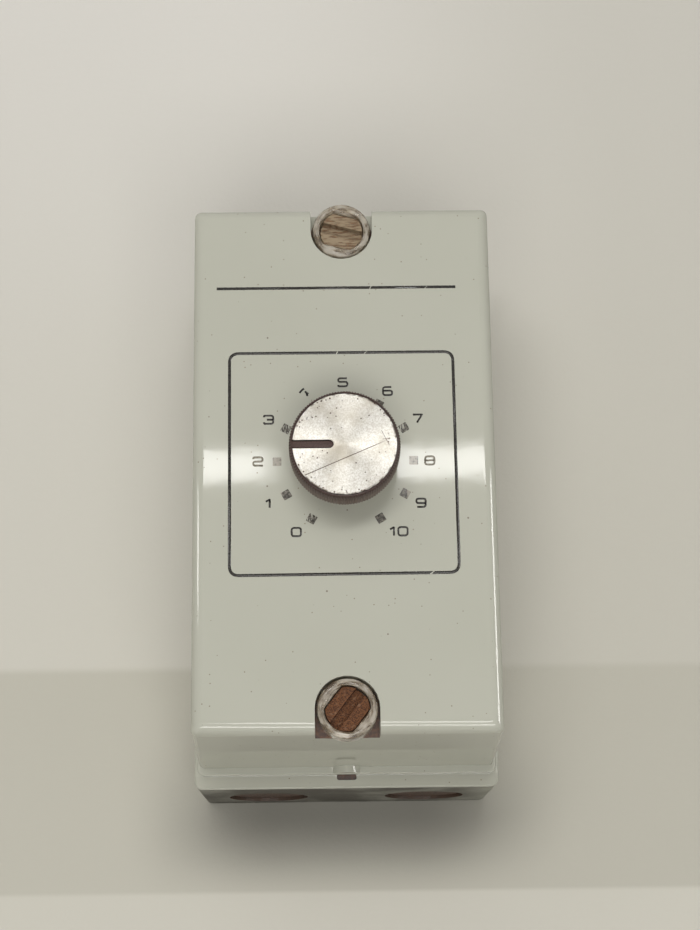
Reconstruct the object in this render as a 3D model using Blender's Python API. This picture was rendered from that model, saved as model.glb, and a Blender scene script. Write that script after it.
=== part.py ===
"""Wall-mounted electronic speed regulator: a dial, a two-part moulded housing and its works.

The housing lies on its back. The origin is at the centre of the back face, +Z points out of
the front towards the user, +Y runs up the wall once it is mounted, and +X is to the right.
All sizes are in metres.
"""
import math

import bmesh
import bpy

# ---------------------------------------------------------------- driving dimensions
CLEARANCE = 0.0003          # gap between pieces that touch
FINE_CLEARANCE = 0.0002     # gap round pieces that fit closely
OVERCUT = 0.0010            # how far a cutter runs past what it cuts
ROUND_STEPS = 28            # facets of a round piece
SMALL_STEPS = 12            # facets of a small round piece

# base: a deep tray with a wide land that the cover sits on
BASE_WIDTH = 0.0850
BASE_HEIGHT = 0.1630
BASE_DEPTH = 0.0400
BASE_WALL = 0.0030
BASE_FLOOR = 0.0030
BASE_CORNER = 0.0022
BASE_DRAFT = 0.0007         # how far a long side leans in from the land to the back
BASE_BACK_CHAMFER = 0.0008
LAND_THICKNESS = 0.0040
LEDGE_SIDE = 0.0009         # land left bare beside the cover's foot
LEDGE_END = 0.0037          # land left bare above and below it
SEAL_SLOT_WIDTH = 0.0055
SEAL_SLOT_HEIGHT = 0.0017
SEAL_SLOT_DEPTH = 0.0015
SEAL_SLOT_CORNER = 0.0006
SEAL_SLOT_INSET = 0.0006    # from the foot of the cover to the middle of the slot
FIXING_HOLE = 0.0052
FIXING_INSET_SIDE = 0.0125  # from the base's side to a fixing hole
FIXING_INSET_END = 0.0155   # from the base's end to it

# cover: a drafted hood with a foot flange and a notch at each end for its screw
COVER_DEPTH = 0.0480        # from the land to the front face
COVER_WALL = 0.0026
COVER_CORNER = 0.0018
FACE_CORNER = 0.0007        # corner of the flat front, inside the rounding
INNER_CORNER = 0.0012       # corners of the hollow in base and cover
COVER_EDGE = 0.0030         # rounding of the front edge
DRAFT_SIDE = 0.00072        # taper of a long side over the cover's depth
DRAFT_END = 0.0036          # taper of a short side
FLANGE_SIDE = 0.0004
FLANGE_END = 0.0019
FLANGE_THICKNESS = 0.0019
SEAL_LUG_WIDTH = 0.0086
SCREW_INSET = 0.0063        # from the front face's end to the axis of its screw
NOTCH_DEPTH = 0.0068
NOTCH_CLEARANCE = 0.0005
NOTCH_WALL = 0.0018
NOTCH_FLOOR = 0.0022
SHAFT_HOLE = 0.0082
TUBE_WALL = 0.0025

# gasket in the land
GASKET_WIDTH = 0.0014
GASKET_HEIGHT = 0.0012
GASKET_INSET = 0.0009       # from the edge of the opening to the groove

# cover screws: a slotted core with a clear cap round its head
CAP_DIAMETER = 0.0159
CAP_EDGE = 0.0009
CAP_EDGE_MIDDLE = 0.00027   # how far the middle of the rounded edge stands in
CAP_RECESS = 0.0002         # from the face down to the cap
CORE_DIAMETER = 0.0116
CORE_FLATS = 0.0092
CORE_RECESS = 0.0012        # from the cap's top down to the core
CORE_SLOT_WIDTH = 0.0030
CORE_SLOT_DEPTH = 0.0022
SHANK_DIAMETER = 0.0060
THREAD_ENGAGEMENT = 0.0100
INSERT_DIAMETER = 0.0090
INSERT_LENGTH = 0.0140
INSERT_LAND = 0.0050        # full-width length at each end of the insert
INSERT_BEVEL = 0.0006
PILLAR_WALL = 0.0024
TOP_SLOT_ANGLE = -15.0
BOTTOM_SLOT_ANGLE = 52.0

# cable entries in the lower wall
ENTRY_DIAMETER = 0.0225
ENTRY_INSET = 0.0200        # from the base's side to a centre line
ENTRY_HEIGHT = 0.0171       # centre line above the back face
PLUG_RECESS = 0.0009
PLUG_LIP = 0.0014
PLUG_LIP_THICKNESS = 0.0012
PLUG_WEB = 0.0012

# knob
KNOB_DIAMETER = 0.0290
KNOB_TOP = 0.01685          # above the front face
KNOB_RIM_HEIGHT = 0.0056
KNOB_HUB_DIAMETER = 0.0208
KNOB_LIFT = 0.0008          # gap between the hub and the face
KNOB_RIM_WALL = 0.0008
KNOB_RIBS = 120
KNOB_RIB_DEPTH = 0.00028
KNOB_EDGE = 0.0005
DISC_THICKNESS = 0.0007
POINTER_WIDTH = 0.0019
POINTER_START = 0.0030      # from the axis to the pointer's inner end
POINTER_SINK = 0.00025

# potentiometer
SHAFT_DIAMETER = 0.0060
SHAFT_FLAT = 0.0045         # across the flat
SHAFT_ENTRY = 0.0105        # length of the shaft inside the knob
POT_SETBACK = 0.0160        # from the front face to the bracket
BUSH_DIAMETER = 0.0095
BUSH_LENGTH = 0.0090
NUT_ACROSS = 0.0135
NUT_THICKNESS = 0.0028
WASHER_DIAMETER = 0.0145
WASHER_THICKNESS = 0.0008
POT_DIAMETER = 0.0240
POT_DEPTH = 0.0140
POT_WALL = 0.0010
TRACK_THICKNESS = 0.0014
TRACK_TAB_WIDTH = 0.0150
TRACK_TAB_REACH = 0.0155    # from the axis to the tab's end
WIPER_THICKNESS = 0.0010
WIPER_WIDTH = 0.0050
WIPER_REACH = 0.0085
LUG_PITCH = 0.0050
LUG_WIDTH = 0.0022
LUG_LENGTH = 0.0060
LUG_THICKNESS = 0.0006
WIRE_DIAMETER = 0.0014

# heat-sink channel, its bracket and the board
CHANNEL_WIDTH = 0.0580
CHANNEL_LENGTH = 0.0960
CHANNEL_HEIGHT = 0.0420
CHANNEL_SHIFT = 0.0010      # the channel's middle above the dial's axis
CHANNEL_SHEET = 0.0020
BOSS_HEIGHT = 0.0040
BOSS_DIAMETER = 0.0080
BOSS_END_INSET = 0.0060     # from the channel's ends
BOSS_SIDE_INSET = 0.0140    # from its sides
BRACKET_SHEET = 0.0015
BRACKET_WIDTH = 0.0200
BRACKET_OVERLAP = 0.0140    # along the channel's wall
BOARD_THICKNESS = 0.0016
BOARD_MARGIN = 0.0010       # from the board's long edge to the channel's wall
BOARD_INSET_LOW = 0.0095    # from the channel's lower end to the board
BOARD_INSET_HIGH = 0.0020   # from its upper end to the board
SPACER_HEIGHT = 0.0060
SPACER_DIAMETER = 0.0060
SPACER_INSET = 0.0045       # from the board's corners
SMALL_SCREW = 0.0030
SMALL_HEAD = 0.0055
SMALL_HEAD_HEIGHT = 0.0020
SMALL_SLOT_WIDTH = 0.0008
SMALL_SLOT_DEPTH = 0.0009
SCREW_REACH = 0.0050        # length of a small screw inside its boss
SCREW_TAIL = 0.0015         # length of a small screw past a sheet

# parts on the board
PART_GAP = 0.0018           # between parts on the board
PART_EDGE_GAP = 0.0008      # from a part to the board's long edge
CHOKE_RADIUS = 0.0100
CHOKE_SECTION = 0.0042
CHOKE_WIRE = 0.0011
CHOKE_TURNS = 12
CHOKE_SIDES = 10            # facets of the ring's section
FILTER_CAP_SIZE = (0.0100, 0.0265, 0.0200)
TIMING_CAP_SIZE = (0.0130, 0.0050, 0.0100)
CAPACITOR_CORNER = 0.0010
RESISTOR_DIAMETER = 0.0040
RESISTOR_LENGTH = 0.0100
SMALL_PARTS_X = -0.0085     # middle of the column of resistors and diode
DIODE_DIAMETER = 0.0026
DIODE_LENGTH = 0.0052
LEAD_DIAMETER = 0.0008
LEAD_SPAN = 0.0030          # from a part's end to the bend of its lead
LEAD_LIFT = 0.0012          # from the board to the underside of a part
TRIAC_WIDTH = 0.0100
TRIAC_HEIGHT = 0.0090
TRIAC_DEPTH = 0.0044
TRIAC_TAB = 0.0013
TRIAC_TAB_HEIGHT = 0.0064
TRIAC_LEG = 0.0009
TRIAC_LEG_PITCH = 0.0025
TRIAC_LEG_LENGTH = 0.0080
FUSE_DIAMETER = 0.0052
FUSE_LENGTH = 0.0200
FUSE_CAP_LENGTH = 0.0050
CLIP_SHEET = 0.0006
CLIP_WIDTH = 0.0036
TERMINAL_POLES = 4
TERMINAL_PITCH = 0.0076
TERMINAL_DEPTH = 0.0105
TERMINAL_HEIGHT = 0.0125
TERMINAL_WELL = 0.0056
TERMINAL_WELL_DEPTH = 0.0070
TERMINAL_SCREW = 0.0046
TERMINAL_SCREW_HEIGHT = 0.0042
TERMINAL_WIRE_HOLE = 0.0040
TERMINAL_INSET = 0.0020     # from the board's lower edge

# ---------------------------------------------------------------- sizes that follow
FACE_Z = BASE_DEPTH + COVER_DEPTH
FOOT_Z = BASE_DEPTH + CLEARANCE
FOOT_HALF = (BASE_WIDTH / 2 - LEDGE_SIDE, BASE_HEIGHT / 2 - LEDGE_END)
WALL_HALF = (FOOT_HALF[0] - FLANGE_SIDE, FOOT_HALF[1] - FLANGE_END)
FACE_HALF = (WALL_HALF[0] - DRAFT_SIDE, WALL_HALF[1] - DRAFT_END)
SCREW_Y = FACE_HALF[1] - SCREW_INSET
ENTRY_X = BASE_WIDTH / 2 - ENTRY_INSET
OPENING_HALF = (WALL_HALF[0] - COVER_WALL, WALL_HALF[1] - COVER_WALL)
GROOVE_WIDTH = GASKET_WIDTH + 2 * CLEARANCE
NOTCH_RADIUS = CAP_DIAMETER / 2 + NOTCH_CLEARANCE
NOTCH_Z = FACE_Z - NOTCH_DEPTH
SCREW_BORE = SHANK_DIAMETER + 2 * CLEARANCE
TUBE_DIAMETER = SCREW_BORE + 2 * TUBE_WALL
PILLAR_BORE = INSERT_DIAMETER + 2 * CLEARANCE
PILLAR_DIAMETER = PILLAR_BORE + 2 * PILLAR_WALL
PILLAR_TOP = BASE_DEPTH - CLEARANCE
INSERT_TOP = PILLAR_TOP - CLEARANCE
CAP_TOP = FACE_Z - CAP_RECESS
CORE_TOP = CAP_TOP - CORE_RECESS
DISC_DIAMETER = KNOB_DIAMETER - 2 * (KNOB_RIM_WALL + FINE_CLEARANCE)
BRACKET_TOP = FACE_Z - POT_SETBACK
POT_FRONT = BRACKET_TOP - BRACKET_SHEET - CLEARANCE
POT_BACK = POT_FRONT - POT_DEPTH
TRACK_BACK = POT_BACK + CLEARANCE
TRACK_FRONT = TRACK_BACK + TRACK_THICKNESS
WIPER_BACK = TRACK_FRONT + CLEARANCE
WIPER_FRONT = WIPER_BACK + WIPER_THICKNESS
CHANNEL_Z = BASE_FLOOR + BOSS_HEIGHT + CLEARANCE
CHANNEL_TOP = CHANNEL_Z + CHANNEL_SHEET
BOSS_X = CHANNEL_WIDTH / 2 - BOSS_SIDE_INSET
CHANNEL_ENDS = (CHANNEL_SHIFT - CHANNEL_LENGTH / 2, CHANNEL_SHIFT + CHANNEL_LENGTH / 2)
BOARD_Z = CHANNEL_TOP + SPACER_HEIGHT + 2 * CLEARANCE
BOARD_TOP = BOARD_Z + BOARD_THICKNESS
BOARD_HALF = CHANNEL_WIDTH / 2 - CHANNEL_SHEET - BOARD_MARGIN
BOARD_ENDS = (CHANNEL_ENDS[0] + BOARD_INSET_LOW, CHANNEL_ENDS[1] - BOARD_INSET_HIGH)
PART_Z = BOARD_TOP + CLEARANCE
TERMINAL_END = BOARD_ENDS[0] + TERMINAL_INSET + TERMINAL_DEPTH
CHOKE_REACH = CHOKE_RADIUS + CHOKE_SECTION + CLEARANCE + CHOKE_WIRE
CHOKE_X = CHOKE_REACH + PART_EDGE_GAP - BOARD_HALF
CHOKE_Y = BOARD_ENDS[1] - PART_GAP - CHOKE_REACH
TIMING_CAP_Y = CHOKE_Y - CHOKE_REACH - PART_GAP - TIMING_CAP_SIZE[1] / 2
FILTER_CAP_X = BOARD_HALF - PART_EDGE_GAP - FILTER_CAP_SIZE[0] / 2
FILTER_CAP_Y = BOARD_ENDS[1] - 2 * SPACER_INSET - FILTER_CAP_SIZE[1] / 2
FUSE_X = BOARD_HALF - PART_EDGE_GAP - FUSE_DIAMETER / 2 - CLEARANCE - CLIP_SHEET
FUSE_Y = TERMINAL_END + PART_GAP + FUSE_LENGTH / 2
TRIAC_Y = TERMINAL_END + PART_GAP + TRIAC_WIDTH / 2
RESISTOR_Y = tuple(TERMINAL_END + PART_GAP + RESISTOR_DIAMETER / 2
                   + row * (RESISTOR_DIAMETER + PART_GAP) for row in (0, 1))
DIODE_Y = RESISTOR_Y[1] + RESISTOR_DIAMETER / 2 + PART_GAP + DIODE_DIAMETER / 2
SMALL_HOLE = SMALL_SCREW + 2 * CLEARANCE
MERGE = 0.000001
SHARP_ANGLE = math.radians(35)

# ---------------------------------------------------------------- finishes
LOOKS = {
    "grey_lacquer": ((0.44, 0.44, 0.39), 0.28, 0.0, 1.0),
    "brown_phenolic": ((0.085, 0.045, 0.035), 0.45, 0.0, 1.0),
    "black_phenolic": ((0.02, 0.02, 0.02), 0.5, 0.0, 1.0),
    "clear_plastic": ((0.80, 0.78, 0.72), 0.15, 0.0, 0.35),
    "spun_aluminium": ((0.75, 0.74, 0.71), 0.3, 1.0, 1.0),
    "sheet_aluminium": ((0.62, 0.62, 0.62), 0.4, 1.0, 1.0),
    "zinc_steel": ((0.55, 0.55, 0.52), 0.35, 1.0, 1.0),
    "brass": ((0.60, 0.43, 0.17), 0.3, 1.0, 1.0),
    "copper": ((0.62, 0.27, 0.12), 0.35, 1.0, 1.0),
    "black_rubber": ((0.02, 0.02, 0.02), 0.8, 0.0, 1.0),
    "board_laminate": ((0.33, 0.20, 0.08), 0.55, 0.0, 1.0),
    "white_plastic": ((0.72, 0.70, 0.62), 0.4, 0.0, 1.0),
    "yellow_film": ((0.60, 0.42, 0.06), 0.4, 0.0, 1.0),
    "ferrite": ((0.06, 0.06, 0.065), 0.6, 0.0, 1.0),
    "glass": ((0.85, 0.88, 0.86), 0.05, 0.0, 0.35),
    "grey_insulation": ((0.25, 0.25, 0.26), 0.5, 0.0, 1.0),
}


def look(name):
    """The material of that name, made when it is first asked for."""
    found = bpy.data.materials.get(name)
    if found:
        return found
    colour, roughness, metallic, alpha = LOOKS[name]
    made = bpy.data.materials.new(name)
    made.use_nodes = True
    shader = made.node_tree.nodes["Principled BSDF"]
    shader.inputs["Base Color"].default_value = (*colour, 1.0)
    shader.inputs["Roughness"].default_value = roughness
    shader.inputs["Metallic"].default_value = metallic
    shader.inputs["Alpha"].default_value = alpha
    made.diffuse_color = (*colour, alpha)
    return made


# ---------------------------------------------------------------- shaping
def clear_scene():
    for old in list(bpy.data.objects):
        bpy.data.objects.remove(old, do_unlink=True)


def add_object(name, mesh, finish, at=(0.0, 0.0, 0.0)):
    """A named object of a mesh, with its finish and its place; a tool has no finish."""
    made = bpy.data.objects.new(name, mesh)
    bpy.context.scene.collection.objects.link(made)
    made.location = at
    if finish and not mesh.materials:
        mesh.materials.append(look(finish))
    mesh.shade_smooth()
    mesh.set_sharp_from_angle(angle=SHARP_ANGLE)
    return made


def to_mesh(name, shape):
    """A mesh of the bmesh, its faces pointing out."""
    bmesh.ops.recalc_face_normals(shape, faces=shape.faces)
    mesh = bpy.data.meshes.new(name)
    shape.to_mesh(mesh)
    shape.free()
    return mesh


def loft(name, rings, finish=None, at=(0.0, 0.0, 0.0), tube=False):
    """A skin over rings of as many points each: capped at both ends, or a tube closed on itself."""
    shape = bmesh.new()
    loops = [[shape.verts.new(point) for point in ring] for ring in rings]
    pairs = list(zip(loops, loops[1:]))
    if tube:
        pairs.append((loops[-1], loops[0]))
    else:
        shape.faces.new(list(reversed(loops[0])))
        shape.faces.new(loops[-1])
    for near, far in pairs:
        for first in range(len(near)):
            second = (first + 1) % len(near)
            shape.faces.new((near[first], near[second], far[second], far[first]))
    return add_object(name, to_mesh(name, shape), finish, at)


def turned(name, profile, finish=None, at=(0.0, 0.0, 0.0), steps=ROUND_STEPS, ring=False):
    """A profile of (radius, height) points turned about Z; a ring's profile closes on itself."""
    shape = bmesh.new()
    points = [shape.verts.new((radius, 0.0, height)) for radius, height in profile]
    edges = [shape.edges.new(pair) for pair in zip(points, points[1:])]
    if ring:
        edges.append(shape.edges.new((points[-1], points[0])))
    bmesh.ops.spin(shape, geom=points + edges, cent=(0, 0, 0), axis=(0, 0, 1),
                   angle=math.tau, steps=steps, use_merge=True)
    bmesh.ops.remove_doubles(shape, verts=shape.verts, dist=MERGE)
    return add_object(name, to_mesh(name, shape), finish, at)


def prism(name, outline, low, high, finish=None, at=(0.0, 0.0, 0.0)):
    """An outline in X and Y, extruded from low to high."""
    shape = bmesh.new()
    face = shape.faces.new([shape.verts.new((x, y, low)) for x, y in outline])
    pushed = bmesh.ops.extrude_face_region(shape, geom=[face])["geom"]
    tops = [item for item in pushed if isinstance(item, bmesh.types.BMVert)]
    bmesh.ops.translate(shape, verts=tops, vec=(0.0, 0.0, high - low))
    return add_object(name, to_mesh(name, shape), finish, at)


def block(name, low, high, finish=None):
    """A box between two corners."""
    outline = [(low[0], low[1]), (high[0], low[1]), (high[0], high[1]), (low[0], high[1])]
    return prism(name, outline, low[2], high[2], finish)


def rectangle(half_x, half_y, radius, height, steps=4):
    """A rounded rectangle of points at a height."""
    points = []
    for quarter, (side_x, side_y) in enumerate(((1, 1), (-1, 1), (-1, -1), (1, -1))):
        for step in range(steps + 1):
            angle = math.radians(90) * (quarter + step / steps)
            points.append((side_x * (half_x - radius) + radius * math.cos(angle),
                           side_y * (half_y - radius) + radius * math.sin(angle), height))
    return points


def circle(radius, height, steps=ROUND_STEPS, phase=0.0):
    """A ring of points, turned by a share of one step."""
    turns = [math.tau * (step + phase) / steps for step in range(steps)]
    return [(radius * math.cos(turn), radius * math.sin(turn), height) for turn in turns]


def round_outline(radius, steps=ROUND_STEPS, phase=0.0):
    """The outline of a disc in X and Y."""
    return [point[:2] for point in circle(radius, 0.0, steps, phase)]


def flatted(radius, half_flats, height, steps=ROUND_STEPS):
    """A circle with two flats, square to Y."""
    return [(x, max(-half_flats, min(half_flats, y)), z) for x, y, z in circle(radius, height, steps)]


def notch_outline(radius, reach, steps=15):
    """A half circle round the origin on the -Y side, its two sides running on to +Y."""
    arc = [(radius * math.cos(math.pi + math.pi * step / steps),
            radius * math.sin(math.pi + math.pi * step / steps)) for step in range(steps + 1)]
    return arc + [(radius, reach), (-radius, reach)]


def combine(target, tool, operation):
    """Cut the tool from the target, or join it on, with the tool kept as a hidden wire shape."""
    modifier = target.modifiers.new(tool.name, "BOOLEAN")
    modifier.operation = operation
    modifier.object = tool
    modifier.solver = "EXACT"
    tool.hide_render = True
    tool.display_type = "WIRE"


def cut(target, *tools):
    for tool in tools:
        combine(target, tool, "DIFFERENCE")


def join(target, *tools):
    for tool in tools:
        combine(target, tool, "UNION")


def drill(target, name, diameter, low, high, at=(0.0, 0.0), steps=SMALL_STEPS):
    """A round hole along Z."""
    bore = prism(name, round_outline(diameter / 2, steps, 0.5), low, high, None, (*at, 0.0))
    cut(target, bore)
    return bore


def settled_mesh(made):
    """The mesh of an object with its modifiers applied, to be shared by copies."""
    bpy.context.view_layer.update()
    graph = bpy.context.evaluated_depsgraph_get()
    return bpy.data.meshes.new_from_object(made.evaluated_get(graph))


def axis_empty(name, at):
    made = bpy.data.objects.new(name, None)
    bpy.context.scene.collection.objects.link(made)
    made.location = at
    return made


def carry(axis, *pieces):
    """Parent pieces whose place is already given in the axis's own frame."""
    for piece in pieces:
        piece.parent = axis


# ---------------------------------------------------------------- housing
def cover_half(height):
    """Half width and half height of the cover's wall at a height, by its draft."""
    low = FOOT_Z + FLANGE_THICKNESS
    share = (height - low) / (FACE_Z - low)
    return tuple(WALL_HALF[side] + share * (FACE_HALF[side] - WALL_HALF[side]) for side in (0, 1))


def inset(half, amount):
    return half[0] - amount, half[1] - amount


def make_base():
    """A tray with a land round its mouth, a groove for the gasket, and pillars for the screws."""
    outer = (BASE_WIDTH / 2, BASE_HEIGHT / 2)
    back = (outer[0] - BASE_DRAFT, outer[1])
    land_z = BASE_DEPTH - LAND_THICKNESS
    groove_in = inset(OPENING_HALF, -GASKET_INSET)
    groove_out = inset(groove_in, -GROOVE_WIDTH)
    groove_z = BASE_DEPTH - GASKET_HEIGHT - CLEARANCE
    chamfer = BASE_BACK_CHAMFER
    base = loft("base_box", [
        rectangle(*inset(back, BASE_WALL), INNER_CORNER, BASE_FLOOR),
        rectangle(*inset(outer, BASE_WALL), INNER_CORNER, land_z),
        rectangle(*OPENING_HALF, INNER_CORNER, land_z),
        rectangle(*OPENING_HALF, INNER_CORNER, BASE_DEPTH),
        rectangle(*groove_in, INNER_CORNER, BASE_DEPTH),
        rectangle(*groove_in, INNER_CORNER, groove_z),
        rectangle(*groove_out, INNER_CORNER, groove_z),
        rectangle(*groove_out, INNER_CORNER, BASE_DEPTH),
        rectangle(*inset(outer, chamfer / 2), BASE_CORNER - chamfer / 2, BASE_DEPTH),
        rectangle(*outer, BASE_CORNER, BASE_DEPTH - chamfer / 2),
        rectangle(*back, BASE_CORNER, chamfer),
        rectangle(*inset(back, chamfer), BASE_CORNER - chamfer, 0.0),
    ], "grey_lacquer")
    sunk = BASE_FLOOR / 2
    for side in (1, -1):
        tag = "top" if side > 0 else "bottom"
        screw_y = side * SCREW_Y
        pillar = round_outline(PILLAR_DIAMETER / 2, 20)
        join(base, prism("pillar_" + tag, pillar, sunk, PILLAR_TOP, None, (0.0, screw_y, 0.0)))
        drill(base, "pillar_bore_" + tag, PILLAR_BORE, INSERT_TOP - INSERT_LENGTH - CLEARANCE,
              PILLAR_TOP + OVERCUT, (0.0, screw_y), 20)
        entry_x = side * ENTRY_X
        entry = prism("entry_" + tag, round_outline(ENTRY_DIAMETER / 2), -BASE_WALL - OVERCUT,
                      OVERCUT, None, (entry_x, -BASE_HEIGHT / 2, ENTRY_HEIGHT))
        entry.rotation_euler.x = math.radians(90)
        cut(base, entry)
        for across in (1, -1):
            fixing_at = (across * (BASE_WIDTH / 2 - FIXING_INSET_SIDE),
                         side * (BASE_HEIGHT / 2 - FIXING_INSET_END))
            drill(base, f"fixing_{tag}_{across}", FIXING_HOLE, -OVERCUT, BASE_FLOOR + OVERCUT, fixing_at)
            boss_at = (across * BOSS_X, boss_y(side))
            boss = round_outline(BOSS_DIAMETER / 2, SMALL_STEPS)
            join(base, prism(f"boss_{tag}_{across}", boss, sunk, CHANNEL_Z - CLEARANCE, None,
                             (*boss_at, 0.0)))
            drill(base, f"boss_bore_{tag}_{across}", SMALL_HOLE,
                  CHANNEL_Z - SCREW_REACH - CLEARANCE, CHANNEL_Z, boss_at)
    slot = [point[:2] for point in rectangle(SEAL_SLOT_WIDTH / 2, SEAL_SLOT_HEIGHT / 2,
                                             SEAL_SLOT_CORNER, 0.0, 3)]
    cut(base, prism("seal_slot", slot, BASE_DEPTH - SEAL_SLOT_DEPTH, BASE_DEPTH + OVERCUT, None,
                    (0.0, -FOOT_HALF[1] - SEAL_SLOT_INSET, 0.0)))
    return base


def boss_y(side):
    """The place along Y of the bosses at the channel's upper (1) or lower (-1) end."""
    return CHANNEL_SHIFT + side * (CHANNEL_LENGTH / 2 - BOSS_END_INSET)


def make_cover():
    """A drafted hood, rounded at the front, with a foot flange, two screw notches and their tubes."""
    ceiling = FACE_Z - COVER_WALL
    shoulder = FACE_Z - COVER_EDGE
    flange_top = FOOT_Z + FLANGE_THICKNESS
    lip = FLANGE_SIDE
    rings = [
        rectangle(*inset(cover_half(ceiling), COVER_WALL), INNER_CORNER, ceiling),
        rectangle(*OPENING_HALF, INNER_CORNER, FOOT_Z),
        rectangle(*FOOT_HALF, COVER_CORNER, FOOT_Z),
        rectangle(*FOOT_HALF, COVER_CORNER, flange_top - lip),
        rectangle(*inset(FOOT_HALF, lip / 2), COVER_CORNER, flange_top),
        rectangle(*cover_half(flange_top), COVER_CORNER, flange_top),
    ]
    turns = 5
    for step in range(turns + 1):
        angle = math.radians(90) * step / turns
        share = 1 - math.cos(angle)
        rings.append(rectangle(*inset(cover_half(shoulder), COVER_EDGE * share),
                               COVER_CORNER + (FACE_CORNER - COVER_CORNER) * share,
                               shoulder + COVER_EDGE * math.sin(angle)))
    cover = loft("front_cover", rings, "grey_lacquer")
    boss_reach = FACE_HALF[1] - COVER_WALL / 2 - SCREW_Y
    notch_reach = BASE_HEIGHT / 2 - SCREW_Y
    for side in (1, -1):
        tag = "top" if side > 0 else "bottom"
        place = (0.0, side * SCREW_Y, 0.0)
        boss = prism("notch_boss_" + tag, notch_outline(NOTCH_RADIUS + NOTCH_WALL, boss_reach),
                     NOTCH_Z - NOTCH_FLOOR, FACE_Z - COVER_WALL / 2, None, place)
        tube = prism("notch_tube_" + tag, round_outline(TUBE_DIAMETER / 2, 20),
                     PILLAR_TOP + CLEARANCE, NOTCH_Z - NOTCH_FLOOR / 2, None, place)
        notch = prism("notch_" + tag, notch_outline(NOTCH_RADIUS, notch_reach),
                      NOTCH_Z, FACE_Z + OVERCUT, None, place)
        if side < 0:
            for tool in (boss, notch):
                tool.rotation_euler.z = math.pi
        join(cover, boss, tube)
        cut(cover, notch)
        drill(cover, "screw_bore_" + tag, SCREW_BORE, BASE_DEPTH - OVERCUT, NOTCH_Z + OVERCUT,
              place[:2], 20)
    drill(cover, "shaft_hole", SHAFT_HOLE, ceiling - OVERCUT, FACE_Z + OVERCUT, (0.0, 0.0), 24)
    arch = [(SEAL_LUG_WIDTH / 2 * math.cos(math.pi * step / 12),
             SEAL_LUG_WIDTH / 2 * math.sin(math.pi * step / 12)) for step in range(13)]
    lug = prism("seal_lug", arch, lip / 2, FLANGE_END + COVER_WALL / 2, None,
                (0.0, -FOOT_HALF[1], FOOT_Z))
    lug.rotation_euler.x = math.radians(90)
    lug.rotation_euler.z = math.pi
    join(cover, lug)
    return cover


def make_gasket():
    """A square rubber ring lying in the groove of the land."""
    inner = inset(OPENING_HALF, -GASKET_INSET - CLEARANCE)
    outer = inset(inner, -GASKET_WIDTH)
    low = BASE_DEPTH - GASKET_HEIGHT
    return loft("cover_gasket", [
        rectangle(*inner, INNER_CORNER, low), rectangle(*outer, INNER_CORNER, low),
        rectangle(*outer, INNER_CORNER, BASE_DEPTH), rectangle(*inner, INNER_CORNER, BASE_DEPTH),
    ], "black_rubber", tube=True)


def make_cover_screw(tag, side, slot_angle):
    """A slotted core with a long shank, and the clear cap that turns with it."""
    axis = axis_empty(f"screw_{tag}_axis", (0.0, side * SCREW_Y, 0.0))
    axis.rotation_euler.z = math.radians(slot_angle)
    seat = NOTCH_Z + CLEARANCE
    shank_end = INSERT_TOP - THREAD_ENGAGEMENT
    shank = SHANK_DIAMETER / 2
    point = shank / 4
    core = loft("cover_screw_" + tag, [
        circle(shank - point, shank_end),
        circle(shank, shank_end + point),
        circle(shank, seat),
        flatted(CORE_DIAMETER / 2, CORE_FLATS / 2, seat),
        flatted(CORE_DIAMETER / 2, CORE_FLATS / 2, CORE_TOP),
    ], "brown_phenolic")
    slot = block("slot_" + tag, (-CORE_DIAMETER, -CORE_SLOT_WIDTH / 2, CORE_TOP - CORE_SLOT_DEPTH),
                 (CORE_DIAMETER, CORE_SLOT_WIDTH / 2, CORE_TOP + OVERCUT))
    cut(core, slot)
    hole = (CORE_DIAMETER / 2 + CLEARANCE, CORE_FLATS / 2 + CLEARANCE)
    cap_radius = CAP_DIAMETER / 2
    chamfer = CAP_EDGE / 2
    cap = loft("screw_cap_" + tag, [
        circle(cap_radius, seat),
        circle(cap_radius, CAP_TOP - CAP_EDGE),
        circle(cap_radius - CAP_EDGE_MIDDLE, CAP_TOP - CAP_EDGE_MIDDLE),
        circle(cap_radius - CAP_EDGE, CAP_TOP),
        flatted(hole[0] + chamfer, hole[1] + chamfer, CAP_TOP),
        flatted(*hole, CAP_TOP - chamfer),
        flatted(*hole, seat),
    ], "clear_plastic", tube=True)
    carry(axis, core, slot, cap)


def make_thread_insert(tag, side):
    """A grooved brass bush pressed into the pillar of the base."""
    outer = INSERT_DIAMETER / 2
    inner = SHANK_DIAMETER / 2 + CLEARANCE
    groove = outer - CLEARANCE
    low = INSERT_TOP - INSERT_LENGTH
    turned("thread_insert_" + tag, [
        (inner, low), (outer, low), (outer, low + INSERT_LAND),
        (groove, low + INSERT_LAND + INSERT_BEVEL), (groove, INSERT_TOP - INSERT_LAND - INSERT_BEVEL),
        (outer, INSERT_TOP - INSERT_LAND), (outer, INSERT_TOP), (inner, INSERT_TOP),
    ], "brass", (0.0, side * SCREW_Y, 0.0), 20, ring=True)


def make_entry_plug(tag, side):
    """A blanking plug: a cupped web with a lip that lies against the inside of the wall."""
    radius = ENTRY_DIAMETER / 2 - CLEARANCE
    web = -PLUG_RECESS - PLUG_WEB
    inside = -BASE_WALL - CLEARANCE
    end = inside - PLUG_LIP_THICKNESS
    bore = radius - PLUG_LIP
    plug = turned("entry_plug_" + tag, [
        (0.0, -PLUG_RECESS), (radius - PLUG_LIP, -PLUG_RECESS), (radius, -PLUG_RECESS),
        (radius, inside), (radius + PLUG_LIP, inside), (radius + PLUG_LIP, end),
        (bore, end), (bore, web), (0.0, web),
    ], "brown_phenolic", (side * ENTRY_X, -BASE_HEIGHT / 2, ENTRY_HEIGHT))
    plug.rotation_euler.x = math.radians(90)


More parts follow.
